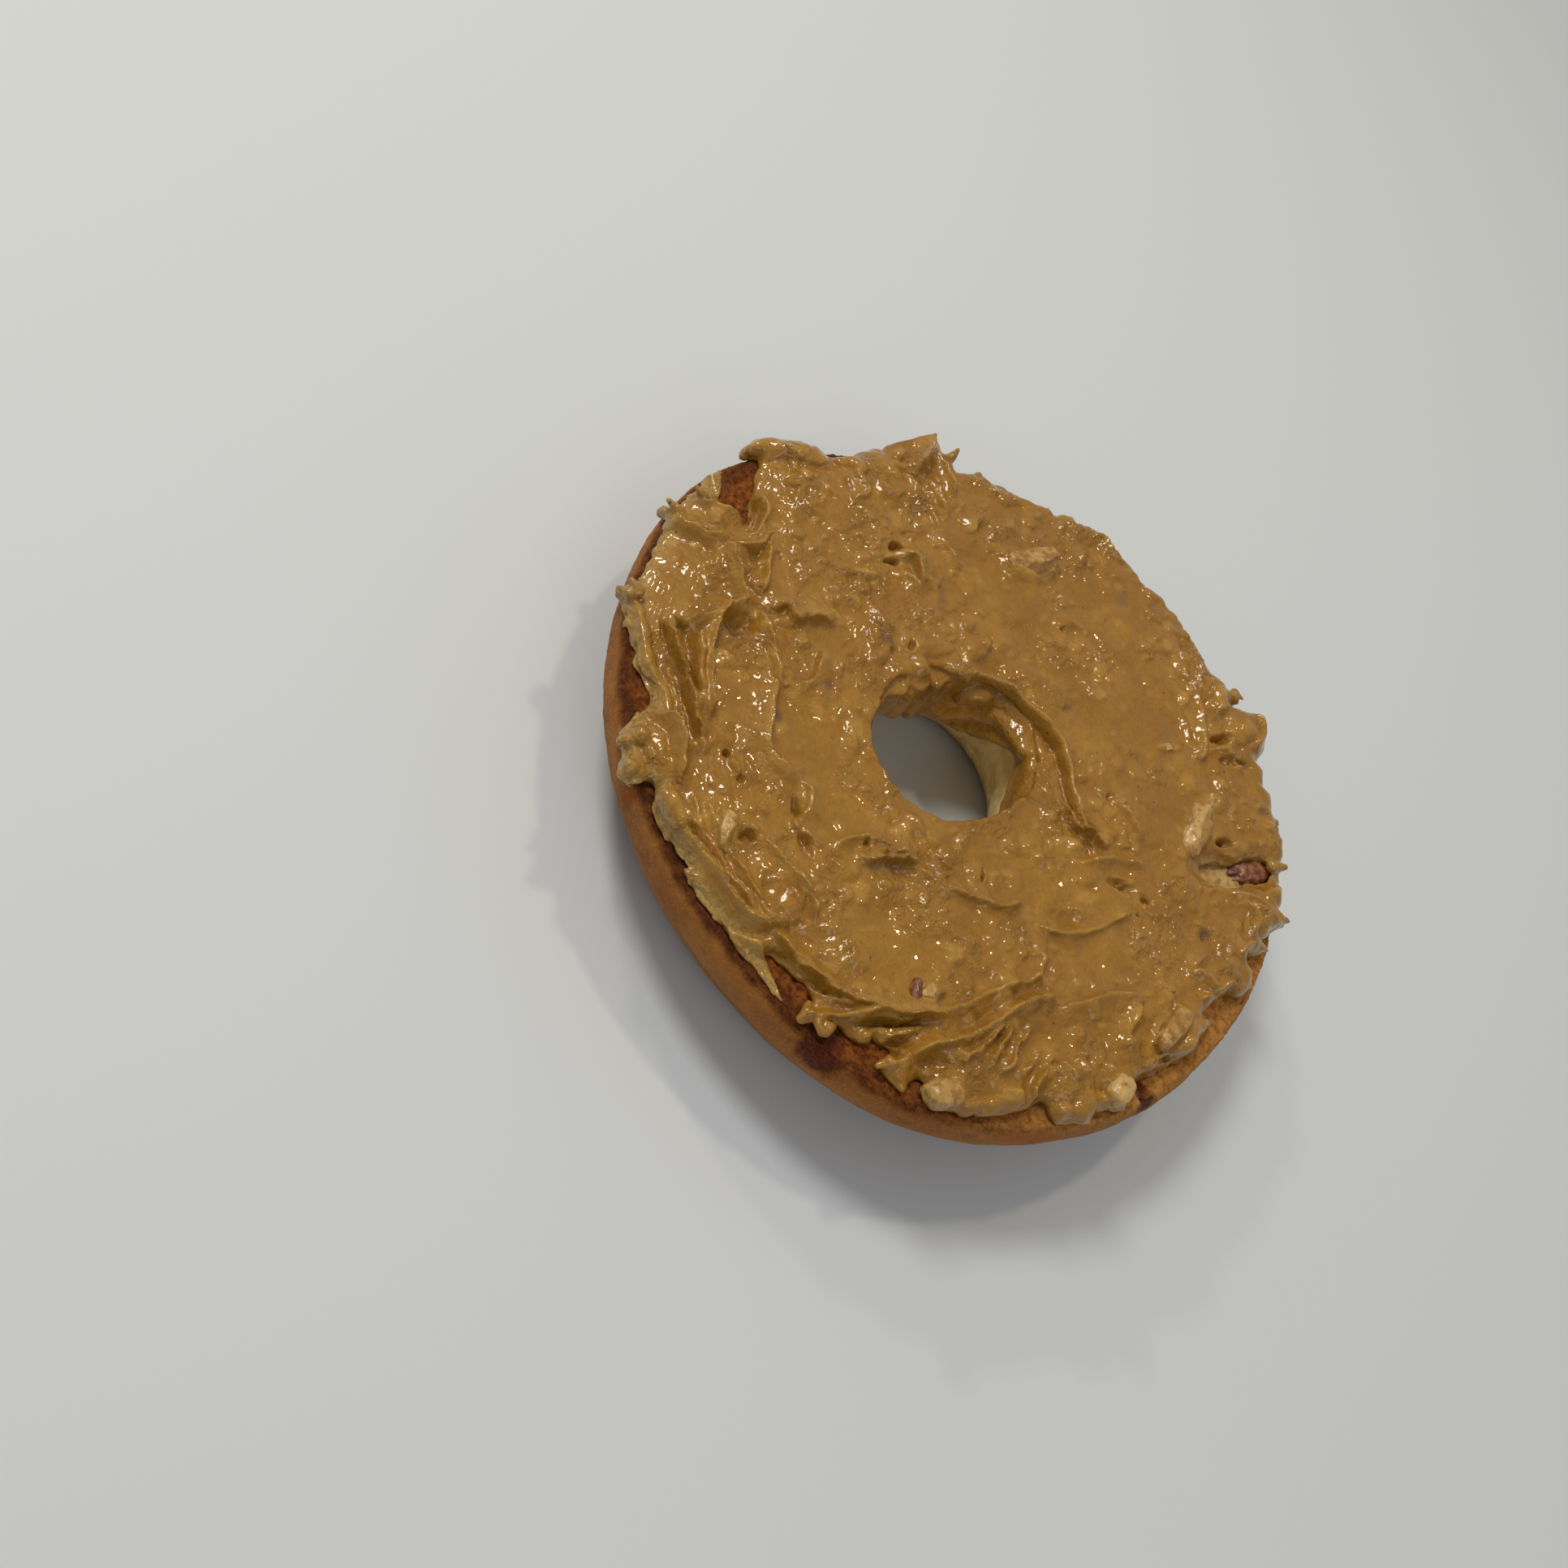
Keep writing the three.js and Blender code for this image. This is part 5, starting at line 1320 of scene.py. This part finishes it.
# The camera that sees the cut face as the photo does: millimetres from its centre, and degrees round x, y, z.
CAMERA_PLACE = (0.0, -154.084, 155.690)
CAMERA_TURN = (29.981, -26.296, 43.440)
CAMERA_VIEW = 53.0


def build_stage():
    mesh = bpy.data.meshes.new("floor")
    corners = [(x * FLOOR_HALF, y * FLOOR_HALF, 0) for x, y in ((-1, -1), (1, -1), (1, 1), (-1, 1))]
    mesh.from_pydata(corners, [], [(0, 1, 2, 3)])
    floor = bpy.data.objects.new("floor", mesh)
    bpy.context.scene.collection.objects.link(floor)
    n = Nodes("floor")
    n.set(Base_Color=srgb(199, 205, 213), Roughness=0.6, Specular_IOR_Level=0.3)
    mesh.materials.append(n.material)


def build_world():
    world = bpy.data.worlds.new("world")
    bpy.context.scene.world = world
    world.use_nodes = True
    background = world.node_tree.nodes["Background"]
    background.inputs["Color"].default_value = (1.0, 0.97, 0.9, 1)
    background.inputs["Strength"].default_value = 0.36


def add_lamp(name, towards, distance, size, power, colour):
    """A round lamp that shines on the bagel from a direction."""
    data = bpy.data.lights.new(name, "AREA")
    data.shape, data.size, data.energy, data.color = "DISK", size, power, colour
    lamp = bpy.data.objects.new(name, data)
    direction = Vector(towards).normalized()
    lamp.location = direction * distance
    lamp.rotation_euler = direction.to_track_quat("Z", "Y").to_euler()
    bpy.context.scene.collection.objects.link(lamp)


def build_camera():
    data = bpy.data.cameras.new("camera")
    data.sensor_width, data.sensor_fit, data.clip_start = 36, "HORIZONTAL", 0.01
    data.angle = math.radians(CAMERA_VIEW)
    camera = bpy.data.objects.new("camera", data)
    camera.location = [(a + b) * MM for a, b in zip(CAMERA_PLACE, (*CENTRE, CUT))]
    camera.rotation_euler = [math.radians(v) for v in CAMERA_TURN]
    bpy.context.scene.collection.objects.link(camera)
    bpy.context.scene.camera = camera


build_camera()
build_stage()
build_world()
for lamp in LAMPS:
    add_lamp(*lamp)
bpy.context.scene.view_settings.view_transform = "Standard"

MAPS = topping_maps()
build_bread()
build_peanut_butter(MAPS)
build_nuts(MAPS)
build_raisins(MAPS)
